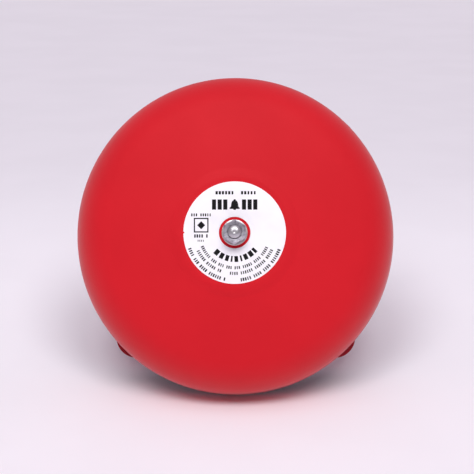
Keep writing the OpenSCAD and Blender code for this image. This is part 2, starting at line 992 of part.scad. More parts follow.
module spring_seat() {
    color("silver")
        from_wall()
            on_striker_axis(ring_y - ring_t)
                tube(5.2, rod_r + seat_gap, spring_seat_t);
}

module return_spring() {
    steps_per_turn = 14;
    wire_sides = 6;
    rise = spring_top_y - spring_end_y - 2 * wire_r;
    last = spring_turns * steps_per_turn;
    corners = [for (i = [0 : last], k = [0 : wire_sides - 1])
        let (turn = 360 * i / steps_per_turn,
             phase = 360 * k / wire_sides,
             reach = spring_coil_r + wire_r * cos(phase))
            [reach * cos(turn), reach * sin(turn),
             wire_r + rise * i / last + wire_r * sin(phase)]];
    walls = [for (i = [0 : last - 1], k = [0 : wire_sides - 1])
        let (next = (k + 1) % wire_sides)
            [i * wire_sides + k, (i + 1) * wire_sides + k,
             (i + 1) * wire_sides + next, i * wire_sides + next]];
    start_cap = [[for (k = [0 : wire_sides - 1]) k]];
    end_cap = [[for (k = [wire_sides - 1 : -1 : 0]) last * wire_sides + k]];
    color("silver")
        from_wall()
            on_striker_axis(spring_top_y)
                polyhedron(points = corners, faces = concat(walls, start_cap, end_cap), convexity = 10);
}

// ---- Circuit board, terminals and leads ----

function board_hole_spots() = [for (x = [board_hole_inset, board_w - board_hole_inset],
        y = [board_hole_inset, board_h - board_hole_inset])
    [board_x + x, board_y + y]];

function pin_pair(spot, gap) = [spot, spot + [gap, 0]];

function component_pin_spots() = concat(pin_pair(capacitor_spot, capacitor_pins),
    pin_pair(diode_spot, diode_pins), pin_pair(varistor_spot, varistor_pins));

module circuit_board() {
    color("darkgreen")
        from_wall()
            difference() {
                translate([board_x, board_y, board_z])
                    cube([board_w, board_h, board_t]);
                at_each(board_hole_spots(), board_z - 1)
                    cylinder(r = board_screw_r + seat_gap, h = board_t + 2);
                at_each(component_pin_spots(), board_z - 1)
                    cylinder(r = component_pin_r + fit_gap, h = board_t + 2);
            }
}

module board_spacers() {
    color("ivory")
        from_wall()
            at_each(board_hole_spots(), floor_z)
                tube(3, board_screw_r + seat_gap, board_z - floor_z);
}

module board_screws() {
    color("silver")
        from_wall()
            at_each(board_hole_spots(), board_top_z)
                pan_screw(board_screw_r, board_top_z - plate_t - 0.2);
}

// Two wire legs that pass through the board and stand up to a component
module component_legs(spot, gap, leg_h) {
    at_each(pin_pair(spot, gap), board_z)
        cylinder(r = component_pin_r, h = board_t + leg_h);
}

module suppressor_capacitor() {
    body = [18, 7, 12];
    stand_off = 0.4;
    color("gold")
        from_wall()
            union() {
                translate([capacitor_spot[0] - (body[0] - capacitor_pins) / 2,
                           capacitor_spot[1] - body[1] / 2, board_top_z + stand_off])
                    cube(body);
                component_legs(capacitor_spot, capacitor_pins, stand_off + 1);
            }
}

module polarity_diode() {
    body_r = 1.4;
    body_l = 6;
    stand_off = 2;
    color("#303030")
        from_wall()
            union() {
                translate([diode_spot[0], diode_spot[1], board_top_z + stand_off])
                    rotate([0, 90, 0]) {
                        cylinder(r = component_pin_r, h = diode_pins);
                        translate([0, 0, (diode_pins - body_l) / 2])
                            cylinder(r = body_r, h = body_l);
                    }
                component_legs(diode_spot, diode_pins, stand_off + component_pin_r);
            }
}

module varistor() {
    disc_r = 5;
    disc_t = 4;
    stand_off = 1;
    color("steelblue")
        from_wall()
            union() {
                translate([varistor_spot[0] + varistor_pins / 2, varistor_spot[1] + disc_t / 2,
                           board_top_z + stand_off + disc_r])
                    rotate([90, 0, 0])
                        cylinder(r = disc_r, h = disc_t);
                component_legs(varistor_spot, varistor_pins, stand_off + 2);
            }
}

function way_spots() = [for (way = [0 : block_ways - 1])
    [block_x + block_w / 2 + (way - (block_ways - 1) / 2) * way_pitch, block_y + block_h / 2]];

function block_hole_spots() = [for (x = [block_hole_inset, block_w - block_hole_inset])
    [block_x + x, block_y + block_h / 2]];

module terminal_block() {
    wire_w = 4.2;
    wire_h = 4;
    color("#1f3a5c")
        from_wall()
            difference() {
                translate([block_x, block_y, floor_z])
                    cube([block_w, block_h, block_t]);
                at_each(way_spots(), floor_z + 2) {
                    translate([-wire_w / 2, -block_h, 0])
                        cube([wire_w, 2 * block_h, wire_h + 3.2]);
                    cylinder(r = 2.6, h = block_t);
                }
                at_each(block_hole_spots(), floor_z - 1)
                    cylinder(r = block_screw_r + seat_gap, h = block_t + 2);
            }
}

module terminal_clamps() {
    color("gainsboro")
        from_wall()
            at_each(way_spots(), floor_z + 2)
                difference() {
                    translate([-2, -4, 0])
                        cube([4, 8, 7]);
                    translate([-1.2, -5, 1])
                        cube([2.4, 10, 3.4]);
                    translate([0, 0, 4])
                        cylinder(r = 1.3, h = 4);
                }
}

module terminal_screws() {
    color("silver")
        from_wall()
            at_each(way_spots(), floor_z + 9.2)
                pan_screw(1.2, 3.6);
}

module block_screws() {
    color("silver")
        from_wall()
            at_each(block_hole_spots(), floor_z + block_t)
                pan_screw(block_screw_r, block_t + house_wall - 0.2);
}

module motor_leads() {
    color("red")
        from_wall()
            for (route = motor_lead_routes)
                swept_lead(smooth(route));
}

module supply_leads() {
    color("black")
        from_wall()
            for (route = supply_lead_routes)
                swept_lead(smooth(route));
}

mounting_plate();
cable_grommet();
gong_post();
housing_base();
base_screws();
housing_cover();
cover_gasket();
cover_screws();
gong();
gong_label();
cushion_washer();
locating_pin();
gong_washer();
gong_lock_washer();
gong_nut();
motor_can();
motor_end_cap();
motor_bushings();
motor_magnets();
motor_terminals();
brush_leaves();
brush_blocks();
motor_bracket();
bracket_screws();
motor_screws();
motor_shaft();
armature_core();
armature_windings();
commutator_hub();
commutator();
eccentric_disc();
set_screw();
crank_pin();
crank_roller();
striker_bracket();
guide_bush_upper();
guide_bush_lower();
striker_rod();
striker_tail();
striker_head();
retaining_ring();
spring_seat();
return_spring();
circuit_board();
board_spacers();
board_screws();
suppressor_capacitor();
polarity_diode();
varistor();
terminal_block();
terminal_clamps();
terminal_screws();
block_screws();
motor_leads();
supply_leads();
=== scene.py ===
import json
import random
from math import asin, cos, pi, radians, sin, sqrt, tan

import bmesh
import bpy
from mathutils import Matrix, Vector


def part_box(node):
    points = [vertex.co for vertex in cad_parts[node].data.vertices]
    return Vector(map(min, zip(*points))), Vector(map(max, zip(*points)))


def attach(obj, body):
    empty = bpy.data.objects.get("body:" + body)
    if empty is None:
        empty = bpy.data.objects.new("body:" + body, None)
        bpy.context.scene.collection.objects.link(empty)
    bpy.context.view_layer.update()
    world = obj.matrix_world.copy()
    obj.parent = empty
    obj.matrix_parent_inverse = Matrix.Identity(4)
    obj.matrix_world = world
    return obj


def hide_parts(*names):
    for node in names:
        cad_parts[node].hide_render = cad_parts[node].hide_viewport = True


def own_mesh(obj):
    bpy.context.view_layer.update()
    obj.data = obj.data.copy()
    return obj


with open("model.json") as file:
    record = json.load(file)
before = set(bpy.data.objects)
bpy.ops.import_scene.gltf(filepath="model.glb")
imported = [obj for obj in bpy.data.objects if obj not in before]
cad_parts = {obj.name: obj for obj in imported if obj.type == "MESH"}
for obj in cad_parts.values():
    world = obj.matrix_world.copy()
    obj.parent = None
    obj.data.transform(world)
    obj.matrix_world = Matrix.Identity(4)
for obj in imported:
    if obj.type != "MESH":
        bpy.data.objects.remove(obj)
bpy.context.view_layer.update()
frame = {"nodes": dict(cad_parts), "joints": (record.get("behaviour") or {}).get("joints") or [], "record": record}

# ---- Mounting plate ----
# A square of 2.5 mm sheet steel with rounded corners, blanked in one stroke and painted the
# bell's red. Bolts in its corner holes hold the bell to the wall; all the rest is fixed to it.
MM = 0.001
WELD = 0.001 * MM
FLAT, SHARP = radians(0.5), radians(35)
STAND = Matrix.Rotation(radians(90), 4, "X") @ Matrix.Scale(MM, 4)
BODY_OF = {node: body for body, nodes in frame["record"]["behaviour"]["bodies"].items()
           for node in nodes}
SLOT_OF = {part["node"]: part["material_slot"] for part in frame["record"]["subparts"]}


class Wire:
    """One socket of a node tree. Sums written on wires become Math nodes."""

    def __init__(self, tree, socket=None):
        self.tree = tree
        self.socket = socket

    def __getitem__(self, name):
        return Wire(self.tree, self.socket.node.outputs[name])

    def node(self, kind, settings=None, inputs=None, out=0):
        """Adds a node: its settings first, then the values or wires of its sockets."""
        made = self.tree.nodes.new(kind)
        for name, value in (settings or {}).items():
            setattr(made, name, value)
        for name, value in (inputs or {}).items():
            if isinstance(value, Wire):
                self.tree.links.new(value.socket, made.inputs[name])
            else:
                made.inputs[name].default_value = value
        return Wire(self.tree, made.outputs[out] if len(made.outputs) else None)

    def math(self, operation, *values):
        return self.node("ShaderNodeMath", {"operation": operation}, dict(enumerate(values)))

    def vector(self, x=0.0, y=0.0, z=0.0):
        return self.node("ShaderNodeCombineXYZ", inputs={"X": x, "Y": y, "Z": z})

    def __add__(self, other):
        return self.math("ADD", self, other)

    __radd__ = __add__

    def __sub__(self, other):
        return self.math("SUBTRACT", self, other)

    def __rsub__(self, other):
        return self.math("SUBTRACT", other, self)

    def __mul__(self, other):
        return self.math("MULTIPLY", self, other)

    __rmul__ = __mul__

    def __truediv__(self, other):
        return self.math("DIVIDE", self, other)

    def __rtruediv__(self, other):
        return self.math("DIVIDE", other, self)


def rgb(red, green, blue):
    """A colour given in the usual 0 to 255, made linear."""
    parts = [value / 255 for value in (red, green, blue)]
    return [p / 12.92 if p <= 0.04045 else ((p + 0.055) / 1.055) ** 2.4 for p in parts] + [1]


def finish(name):
    """A new material, and the wire of its piece's own coordinates."""
    material = bpy.data.materials.new(name)
    material.use_nodes = True
    material.node_tree.nodes.clear()
    return material, Wire(material.node_tree).node("ShaderNodeTexCoord", out="Object")


def surface(material, place, sockets):
    shader = place.node("ShaderNodeBsdfPrincipled", inputs=sockets)
    shader.node("ShaderNodeOutputMaterial", inputs={"Surface": shader})
    return material


def grain(place, size, detail=2.0, stretch=(1, 1, 1)):
    """Noise from 0 to 1 in patches about size millimetres across, divided by stretch."""
    spread = place.node("ShaderNodeVectorMath", {"operation": "MULTIPLY"},
                        {0: place, 1: [s / (size * MM) for s in stretch]})
    return place.node("ShaderNodeTexNoise", inputs={"Vector": spread, "Scale": 1.0, "Detail": detail})


def step(wire, start, end):
    """0 where the wire is below start, 1 above end, smooth between."""
    return wire.node("ShaderNodeMapRange", {"interpolation_type": "SMOOTHSTEP"},
                     {0: wire, 1: start, 2: end})


def tint(factor, base, other):
    """The base colour where the factor is 0, and the other where it is 1."""
    return factor.node("ShaderNodeMix", {"data_type": "RGBA"}, {0: factor, 6: base, 7: other}, out=2)


def bumped(height, depth):
    """Normals of a height from 0 to 1 over depth millimetres."""
    return height.node("ShaderNodeBump",
                       inputs={"Strength": 1.0, "Distance": depth * MM, "Height": height})


def painted(name, colour, shade, peel_depth):
    """Sprayed and baked enamel: a faint orange peel, a cloudy tone and specks of dust."""
    material, place = finish(name)
    cloud = grain(place, size=40, detail=3)
    peel = grain(place, size=1.4, detail=1)
    dust = grain(place, size=0.4, detail=1)
    return surface(material, place, {
        "Base Color": tint(step(cloud, 0.3, 0.7), colour, shade),
        "Roughness": 0.52 + 0.1 * cloud + 0.06 * dust,
        "Specular IOR Level": 0.15, "Sheen Weight": 0.24, "Sheen Roughness": 0.48,
        "Normal": bumped(peel + 0.25 * dust, peel_depth)})


def new_piece(name, mesh):
    piece = bpy.data.objects.new(name, mesh)
    bpy.context.scene.collection.objects.link(piece)
    return piece


def applied(piece):
    """Makes what the modifiers show the piece's own mesh."""
    ready = piece.evaluated_get(bpy.context.evaluated_depsgraph_get())
    made = bpy.data.meshes.new_from_object(ready)
    piece.modifiers.clear()
    piece.data = made
    return piece


def tidied(mesh, crease=30):
    """Merges doubles, turns the faces outwards, and shades smooth up to the crease angle."""
    form = bmesh.new()
    form.from_mesh(mesh)
    bmesh.ops.remove_doubles(form, verts=form.verts, dist=WELD)
    bmesh.ops.dissolve_degenerate(form, dist=WELD / 10, edges=form.edges)
    bmesh.ops.recalc_face_normals(form, faces=form.faces)
    form.to_mesh(mesh)
    form.free()
    mesh.shade_smooth()
    mesh.set_sharp_from_angle(angle=radians(crease))
    return mesh


def fitted(piece, *nodes):
    """The piece stands for these CAD nodes, on their body."""
    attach(piece, BODY_OF[nodes[0]])
    SLOT_OF[nodes[0]]
    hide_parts(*nodes)
    return piece


def softened(node, rounding, material, crease=30):
    """The node's own shape with its sharp edges rounded, as a tool or a mould leaves them."""
    mesh = frame["nodes"][node].data.copy()
    form = bmesh.new()
    form.from_mesh(mesh)
    bmesh.ops.remove_doubles(form, verts=form.verts, dist=WELD)
    bmesh.ops.dissolve_limit(form, angle_limit=FLAT, verts=form.verts, edges=form.edges)
    form.to_mesh(mesh)
    form.free()
    mesh.materials.clear()
    mesh.materials.append(material)
    piece = new_piece(node + "_made", mesh)
    edges = piece.modifiers.new("edges", "BEVEL")
    edges.width = rounding * MM
    edges.segments = 2
    edges.limit_method = "ANGLE"
    edges.angle_limit = SHARP
    edges.miter_outer = "MITER_ARC"
    applied(piece)
    tidied(piece.data, crease)
    piece.modifiers.new("shading", "WEIGHTED_NORMAL").keep_sharp = True
    return fitted(applied(piece), node)


plate_paint = painted("plate_paint", rgb(176, 28, 40), rgb(160, 24, 36), peel_depth=0.05)
softened("mounting_plate", 0.5, plate_paint)

# ---- Cable grommet ----
# A moulded rubber bush with a lip, pushed through the plate and the housing's back, so that
# the supply cable comes out of the wall without meeting a steel edge.
KINDS = {int: "NodeSocketInt", float: "NodeSocketFloat", str: "NodeSocketMaterial"}


def wall_box(node):
    """A CAD node's lowest and highest corners in millimetres: across, up and out of the wall."""
    low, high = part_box(node)
    return Vector((low.x, low.z, -high.y)) / MM, Vector((high.x, high.z, -low.y)) / MM


def new_tree(name, sizes):
    """A geometry tree with a named input for each size, and the wire of its inputs."""
    tree = bpy.data.node_groups.new(name, "GeometryNodeTree")
    for direction in ("INPUT", "OUTPUT"):
        tree.interface.new_socket("Geometry", in_out=direction, socket_type="NodeSocketGeometry")
    for size, kind in sizes.items():
        tree.interface.new_socket(size, in_out="INPUT", socket_type=KINDS[kind])
    return Wire(tree).node("NodeGroupInput")


def end_tree(start, shape):
    real = shape.node("GeometryNodeRealizeInstances", inputs={"Geometry": shape})
    real = real.node("GeometryNodeSetMaterial", inputs={"Geometry": real,
                                                        "Material": start["Material"]})
    real.node("NodeGroupOutput", inputs={"Geometry": real})
    return start.tree


def grown(name, tree, sizes, base, at=None, crease=30):
    """The piece that a tree grows from a base mesh, in millimetres, stood up in the frame."""
    piece = new_piece(name, base)
    shaper = piece.modifiers.new("shape", "NODES")
    shaper.node_group = tree
    for item in tree.interface.items_tree:
        if item.in_out == "INPUT" and item.name in sizes:
            shaper[item.identifier] = sizes[item.name]
    applied(piece)
    piece.data.materials.clear()
    piece.data.materials.append(sizes["Material"])
    piece.data.polygons.foreach_set("material_index", [0] * len(piece.data.polygons))
    piece.data.transform(STAND @ (at or Matrix()))
    tidied(piece.data, crease)
    return piece


def noted(mesh, name, kind, values):
    """Writes one value for each point of a mesh."""
    note = mesh.attributes.new(name, kind, "POINT")
    flat = [part for value in values for part in value] if kind == "FLOAT_VECTOR" else values
    note.data.foreach_set("vector" if kind == "FLOAT_VECTOR" else "value", flat)


def note_of(start, name, kind):
    """The noted values, read in a tree."""
    return start.node("GeometryNodeInputNamedAttribute", {"data_type": kind}, {"Name": name})


def turning_tree(name, recess):
    """Turns the section's points about the axis and sets a copy at each spot. A section point
    is (radius, depth of thread, height). Flats cut the turned shape to a hexagon."""
    sizes = {"Steps": int, "Pitch": float, "Flats": float, "Material": str}
    if recess:
        sizes.update({"Recess Length": float, "Recess Width": float, "Recess Depth": float,
                      "Head Top": float, "Seed": int})
    start = new_tree(name, sizes)
    spot = note_of(start, "spot", "FLOAT")
    split = start.node("GeometryNodeSeparateGeometry", {"domain": "POINT"},
                       {"Geometry": start["Geometry"], "Selection": spot})
    section = split["Inverted"]
    rows = section.node("GeometryNodeAttributeDomainSize", inputs={"Geometry": section})
    grid = start.node("GeometryNodeMeshGrid", inputs={"Vertices X": start["Steps"] + 1,
                                                      "Vertices Y": rows})
    index = start.node("GeometryNodeInputIndex")
    column = start.math("FLOOR", (index + 0.5) / rows)
    where = start.node("GeometryNodeInputPosition")
    point = start.node("GeometryNodeSampleIndex", {"data_type": "FLOAT_VECTOR"},
                       {"Geometry": section, "Value": where, "Index": index - column * rows})
    point = start.node("ShaderNodeSeparateXYZ", inputs={0: point})
    turn = column / start["Steps"]
    groove = start.math("ABSOLUTE", start.math("FRACT", point["Z"] / start["Pitch"] + turn) * 2 - 1)
    flat = start.math("FRACT", turn * 6 + 0.5) - 0.5
    reach = start.math("MINIMUM", point["X"] - point["Y"] * groove,
                       start["Flats"] / 2 / start.math("COSINE", flat * (pi / 3)))
    angle = turn * (2 * pi)
    place = start.vector(reach * start.math("COSINE", angle), reach * start.math("SINE", angle),
                         point["Z"])
    shape = grid.node("GeometryNodeSetPosition", inputs={"Geometry": grid, "Position": place})
    shape = shape.node("GeometryNodeMergeByDistance",
                       inputs={"Geometry": shape, "Distance": WELD / MM / 2})
    aim = None
    if recess:
        size = start.vector(start["Recess Length"], start["Recess Width"], start["Recess Depth"] * 2)
        bar = start.node("GeometryNodeMeshCube", inputs={"Size": size})
        top = start.vector(z=start["Head Top"])
        bars = [bar.node("GeometryNodeTransform", inputs={
            "Geometry": bar, "Translation": top, "Rotation": (0, 0, quarter)})
            for quarter in (0, pi / 2)]
        for cutter in bars:
            shape = shape.node("GeometryNodeMeshBoolean", {"operation": "DIFFERENCE"},
                               {"Mesh 1": shape, "Mesh 2": cutter})
        chance = start.node("FunctionNodeRandomValue", inputs={
            2: 0.0, 3: pi / 2, "Seed": start["Seed"]}, out=1)
        aim = start.node("FunctionNodeEulerToRotation", inputs={0: start.vector(z=chance)})
    inputs = {"Points": split["Selection"], "Instance": shape}
    if aim:
        inputs["Rotation"] = aim
    return end_tree(start, start.node("GeometryNodeInstanceOnPoints", inputs=inputs))


def corners(*given, closed=True):
    """A section's points from corners (radius, height, rounding)."""
    points = []
    for i, (radius, height, rounding) in enumerate(given):
        here = Vector((radius, 0, height))
        if not rounding:
            points.append(here)
            continue
        before, after = given[i - 1], given[(i + 1) % len(given)]
        back = Vector((before[0], 0, before[1])) - here
        on = Vector((after[0], 0, after[1])) - here
        cut = min(rounding, 0.45 * back.length, 0.45 * on.length)
        back, on = back.normalized() * cut, on.normalized() * cut
        for t in (0, 0.25, 0.5, 0.75, 1):
            points.append(here + back * (1 - t) ** 2 + on * t ** 2)
    return points + points[:1] if closed else points


turning = turning_tree("turned_piece", recess=False)
NO_FLATS = 1000.0


def turned(name, section, material, steps=64, spots=((0, 0, 0),), at=None, pitch=1.0,
           flats=NO_FLATS, crease=30, tree=turning, **more):
    """A piece made on a lathe: its section turned about the axis, one copy at each spot."""
    base = bpy.data.meshes.new(name)
    base.from_pydata([tuple(p) for p in section] + [tuple(s) for s in spots], [], [])
    noted(base, "spot", "FLOAT", [0.0] * len(section) + [1.0] * len(spots))
    sizes = {"Steps": steps, "Pitch": pitch, "Flats": flats, "Material": material}
    sizes.update({key.replace("_", " ").title(): value for key, value in more.items()})
    return grown(name, tree, sizes, base, at, crease)


def moulded(name, colour, shade, size, depth, roughness=0.45):
    """Moulded plastic or rubber: spark-eroded grain, a drifting tone and handling gloss."""
    material, place = finish(name)
    cloud = grain(place, size=18, detail=3)
    texture = grain(place, size)
    return surface(material, place, {
        "Base Color": tint(step(cloud, 0.3, 0.7), colour, shade),
        "Roughness": roughness - 0.06 + 0.12 * cloud + 0.08 * texture,
        "Specular IOR Level": 0.4,
        "Normal": bumped(texture, depth)})


grommet_low, grommet_high = wall_box("cable_grommet")
housing_back_t = 2.0
housing_floor = wall_box("mounting_plate")[1].z + housing_back_t
grommet_lip_r = (grommet_high.x - grommet_low.x) / 2
grommet_barrel_r = grommet_lip_r - 1.6
grommet_bore_r = 5.0
grommet_at = Matrix.Translation(((grommet_low + grommet_high) / 2).xy.to_3d())
black_rubber = moulded("black_rubber", rgb(44, 43, 44), rgb(34, 33, 35), 0.5, 0.02, 0.6)
fitted(turned("grommet_bush", corners(
    (grommet_bore_r, 0, 0.6), (grommet_barrel_r, 0, 0.2), (grommet_barrel_r, housing_floor, 0),
    (grommet_lip_r, housing_floor, 0.3), (grommet_lip_r, grommet_high.z, 0.5),
    (grommet_bore_r, grommet_high.z, 0.6)), black_rubber, at=grommet_at), "cable_grommet")

# ---- Housing, gasket and cover ----
# Two mouldings in black glass-filled nylon with a fine spark grain, and a foam rubber gasket
# between them. The base is screwed to the plate, and round the gong's post it has a sleeve.
housing_plastic = moulded("housing_plastic", rgb(52, 51, 54), rgb(42, 41, 44), 0.45, 0.03, 0.5)
softened("housing_base", 0.35, housing_plastic)
softened("housing_cover", 0.5, housing_plastic)
softened("cover_gasket", 0.1, black_rubber)

# ---- Screws ----
# Pan heads with a crossed recess, cold headed from wire, thread rolled and zinc plated. Like
# screws share one mesh, each stopped at its own angle.
screwing = turning_tree("turned_screw", recess=True)
SCREW_PITCH = 0.5


def plated(name, colour, shade, roughness, streak=(1, 1, 1), size=1.2, depth=0.004, tarnish=0.5,
           cloud_size=6):
    """Bare or plated metal: tool marks that streak one way, and clouds of duller plating."""
    material, place = finish(name)
    marks = grain(place, size, detail=3, stretch=streak)
    cloud = grain(place, cloud_size, detail=3)
    spots = step(grain(place, size=0.8), 0.66, 0.74)
    dull = tarnish * step(cloud, 0.4, 0.75) + 0.35 * spots
    return surface(material, place, {
        "Base Color": tint(dull, colour, shade), "Metallic": 1.0,
        "Roughness": roughness + 0.14 * marks + 0.12 * dull,
        "Normal": bumped(marks, depth)})


zinc = rgb(214, 213, 214)
screw_zinc = plated("screw_zinc", zinc, rgb(168, 167, 166), 0.22)


def screws(name, node, spots, shank_r, shank_l, at=None, seed=1):
    """Pan-head screws: the head stands on each spot, and the threaded shank goes back."""
    head_r, head_h = shank_r * 1.9, shank_r * 1.2
    crown_r, edge_h, tip_r = head_r * 0.75, head_h * 0.45, shank_r * 0.75
    thread_depth = shank_r * 0.14
    rows = max(8, round(shank_l / SCREW_PITCH * 6))
    thread = [Vector((shank_r, thread_depth, -shank_l * i / rows)) for i in range(rows)]
    head = corners((0, head_h, 0), (crown_r, head_h, 0.1), (head_r, edge_h, 0.3),
                   (head_r, 0, 0.1), (shank_r, 0, 0), closed=False)
    section = head + thread + [Vector((tip_r, 0, -shank_l)), Vector((0, 0, -shank_l))]
    piece = turned(name, section, screw_zinc, 32, spots, at, SCREW_PITCH, tree=screwing,
                   recess_length=head_r * 1.2, recess_width=shank_r * 0.42,
                   recess_depth=head_h * 0.5, head_top=head_h, seed=seed)
    return fitted(piece, node)


cover_face = wall_box("housing_cover")[1].z
cover_spots = [(x, y, cover_face) for x, y in ((-43.5, 30), (43.5, 30), (-36.5, -38), (36.5, -38))]
screws("cover_screw_set", "cover_screws", cover_spots, shank_r=1.5, shank_l=14, seed=3)
base_spots = [(x, y, housing_floor) for x, y in ((-42.5, 12), (42.5, 12), (-26, -44), (26, -44))]
screws("base_screw_set", "base_screws", base_spots, shank_r=2.0, shank_l=4.3, seed=5)

# ---- Gong post ----
# A steel bar turned with a broad flange and an M6 stud, riveted into the middle of the plate.
# The stud's end is domed and keeps a small centre hole from the lathe. A rolled pin in the
# flange keeps the gong from turning, and a fibre washer lies under it.
post_top = wall_box("gong_post")[1].z
post_seat = wall_box("cushion_washer")[0].z
plate_face = wall_box("mounting_plate")[1].z
tenon_r, post_r, flange_r, flange_t, stud_r = 4.0, 5.0, 13.0, 3.0, 3.0
thread_depth, thread_pitch, rows_per_pitch = 0.45, 1.0, 8
dome_h, centre_r, centre_h = 0.9, 0.8, 0.6
pin_low, pin_high = wall_box("locating_pin")
pin_x, pin_r = (pin_low.x + pin_high.x) / 2, (pin_high.x - pin_low.x) / 2


def bored(piece, x, y, radius, low, high):
    """Bores a round hole through a piece, out from the wall."""
    cutter = turned("cutter", corners((0, low, 0), (radius, low, 0), (radius, high, 0),
                                      (0, high, 0)), None, 40,
                    at=Matrix.Translation((x, y, 0)))
    hole = piece.modifiers.new("hole", "BOOLEAN")
    hole.object, hole.solver = cutter, "EXACT"
    applied(piece)
    bpy.data.objects.remove(cutter)
    tidied(piece.data)
    return piece


turned_steel = plated("turned_steel", rgb(198, 196, 200), rgb(154, 152, 156), 0.3, streak=(0.3, 3, 0.3))
thread_top = post_top - dome_h
thread_rows = round((thread_top - post_seat) * rows_per_pitch)
stud = [Vector((stud_r, thread_depth if i else 0, thread_top - i / rows_per_pitch))
        for i in range(thread_rows)]
dome_steps = 8
stud_dome = [(centre_r + (stud_r - centre_r) * i / dome_steps,
              post_top - dome_h * (i / dome_steps) ** 2, 0) for i in range(1, dome_steps)]
post = turned("post_turning", corners(
    (0, post_top - centre_h, 0), (centre_r, post_top, 0.2), *stud_dome, closed=False)
    + stud + corners(
    (stud_r, post_seat, 0), (flange_r, post_seat, 0.3), (flange_r, post_seat - flange_t, 0.4),
    (post_r, post_seat - flange_t, 0.4), (post_r, plate_face, 0), (tenon_r, plate_face, 0),
    (tenon_r, 0, 0.4), (0, 0, 0), closed=False), turned_steel, steps=72, pitch=thread_pitch)
fitted(bored(post, pin_x, 0, pin_r + 0.05, post_seat - flange_t - 1, post_seat + 1), "gong_post")
fitted(turned("pin_roll", corners(
    (pin_r * 0.55, pin_low.z, 0.1), (pin_r, pin_low.z, 0.3), (pin_r, pin_high.z, 0.3),
    (pin_r * 0.55, pin_high.z, 0.1)), turned_steel, 32, at=Matrix.Translation((pin_x, 0, 0))),
    "locating_pin")


def flecked(name, colour, fleck, size, roughness, depth):
    """Pressed or sintered stock: flecks of another tone, and a pitted face."""
    material, place = finish(name)
    flecks = grain(place, size, 4)
    pits = grain(place, size / 3, 2)
    return surface(material, place, {
        "Base Color": tint(step(flecks, 0.35, 0.7), colour, fleck),
        "Roughness": roughness + 0.15 * pits, "Normal": bumped(pits, depth)})


fibre = flecked("fibre", rgb(112, 70, 44), rgb(146, 96, 62), size=1.6, roughness=0.7, depth=0.03)
softened("cushion_washer", 0.15, fibre)

# ---- Gong ----
# One deep drawing in 2 mm steel: a shallow dome, a tight shoulder and a short skirt, with a
# round seat coined for the label. It rings on the cushion washer, and is sprayed all over.
gong_low, gong_high = wall_box("gong")
rim_r, rim_z, seat_z = gong_high.x, gong_low.z, gong_high.z
gong_wall, dome_height, shoulder_r, skirt_height = 2.0, 37.0, 19.0, 11.5
lean = radians(4)
seat_edge_r, slope_end_r = 25.0, 30.4
gong_hole_r = 4.0
bend_steps, face_steps = 24, 14
bend_z = rim_z + skirt_height
bend_r = (rim_r - shoulder_r * cos(lean)
          - (skirt_height + shoulder_r * sin(lean)) * tan(lean))
dome_drop = rim_z + dome_height - bend_z
dome_r = (bend_r ** 2 + dome_drop ** 2 - shoulder_r ** 2) / (2 * (dome_drop - shoulder_r))
dome_z = rim_z + dome_height - dome_r
bend_end = pi / 2 - asin(bend_r / (dome_r - shoulder_r))


def gong_height(r, inset):
    """Height of the dome at a radius, rising to the flat seat within the coined slope."""
    dome = dome_z + sqrt((dome_r - inset) ** 2 - r ** 2)
    t = min(1, max(0, (slope_end_r - r) / (slope_end_r - seat_edge_r)))
    return dome + (seat_z - inset - dome) * t * t * (3 - 2 * t)


def gong_side(inset):
    """One face of the drawing from its rim to its hole."""
    radius = shoulder_r - inset
    top = Vector((bend_r + radius * cos(lean), bend_z + radius * sin(lean)))
    side = [(top.x + (top.y - rim_z) * tan(lean), rim_z, 0.7)]
    for i in range(bend_steps + 1):
        angle = lean + (bend_end - lean) * i / bend_steps
        side.append((bend_r + radius * cos(angle), bend_z + radius * sin(angle), 0))
    for start_r, end_r in ((side[-1][0], slope_end_r), (slope_end_r, seat_edge_r)):
        for i in range(1, face_steps + 1):
            r = start_r + (end_r - start_r) * i / face_steps
            side.append((r, gong_height(r, inset), 0))
    return side + [(gong_hole_r, seat_z - inset, 0.2)]


gong_paint = painted("gong_paint", rgb(208, 17, 32), rgb(203, 15, 30), peel_depth=0.035)
bowl = turned("gong_bowl", corners(*gong_side(0), *reversed(gong_side(gong_wall))), gong_paint,
              steps=256, crease=40)
fitted(bored(bowl, pin_x, 0, pin_r + 0.1, seat_z - gong_wall - 1, seat_z + 1), "gong")

# ---- Label ----
# A ring of white polyester film stuck on the gong's seat, printed in black with plain bars
# and dashes round a small bell. A notch in its left edge sets it straight.
label_low, label_high = wall_box("gong_label")
label_trim = 0.7
label_r, label_hole_r, notch_r = label_high.x - label_trim, 7.25, 0.45
print_t = 0.03


def film(name, colour, shade, roughness, gloss):
    """Printed film: nearly flat, with a faint ripple from the glue and a soft gloss."""
    material, place = finish(name)
    cloud = grain(place, size=9)
    ripple = grain(place, size=3.5, detail=1)
    return surface(material, place, {
        "Base Color": tint(step(cloud, 0.3, 0.7), colour, shade),
        "Roughness": roughness + 0.1 * ripple, "Specular IOR Level": gloss,
        "Normal": bumped(ripple, 0.01)})


label_film = film("label_film", rgb(250, 248, 253), rgb(245, 243, 249), 0.4, 0.3)
label_ink = film("label_ink", rgb(8, 7, 9), rgb(14, 13, 15), 0.5, 0.15)
label_disc = turned("label_disc", corners(
    (label_hole_r, label_low.z, 0), (label_r, label_low.z, 0), (label_r, label_high.z, 0.08),
    (label_hole_r, label_high.z, 0.08)), label_film, steps=200)
bored(label_disc, -label_r, 0, notch_r, label_low.z - 1, label_high.z + 1)

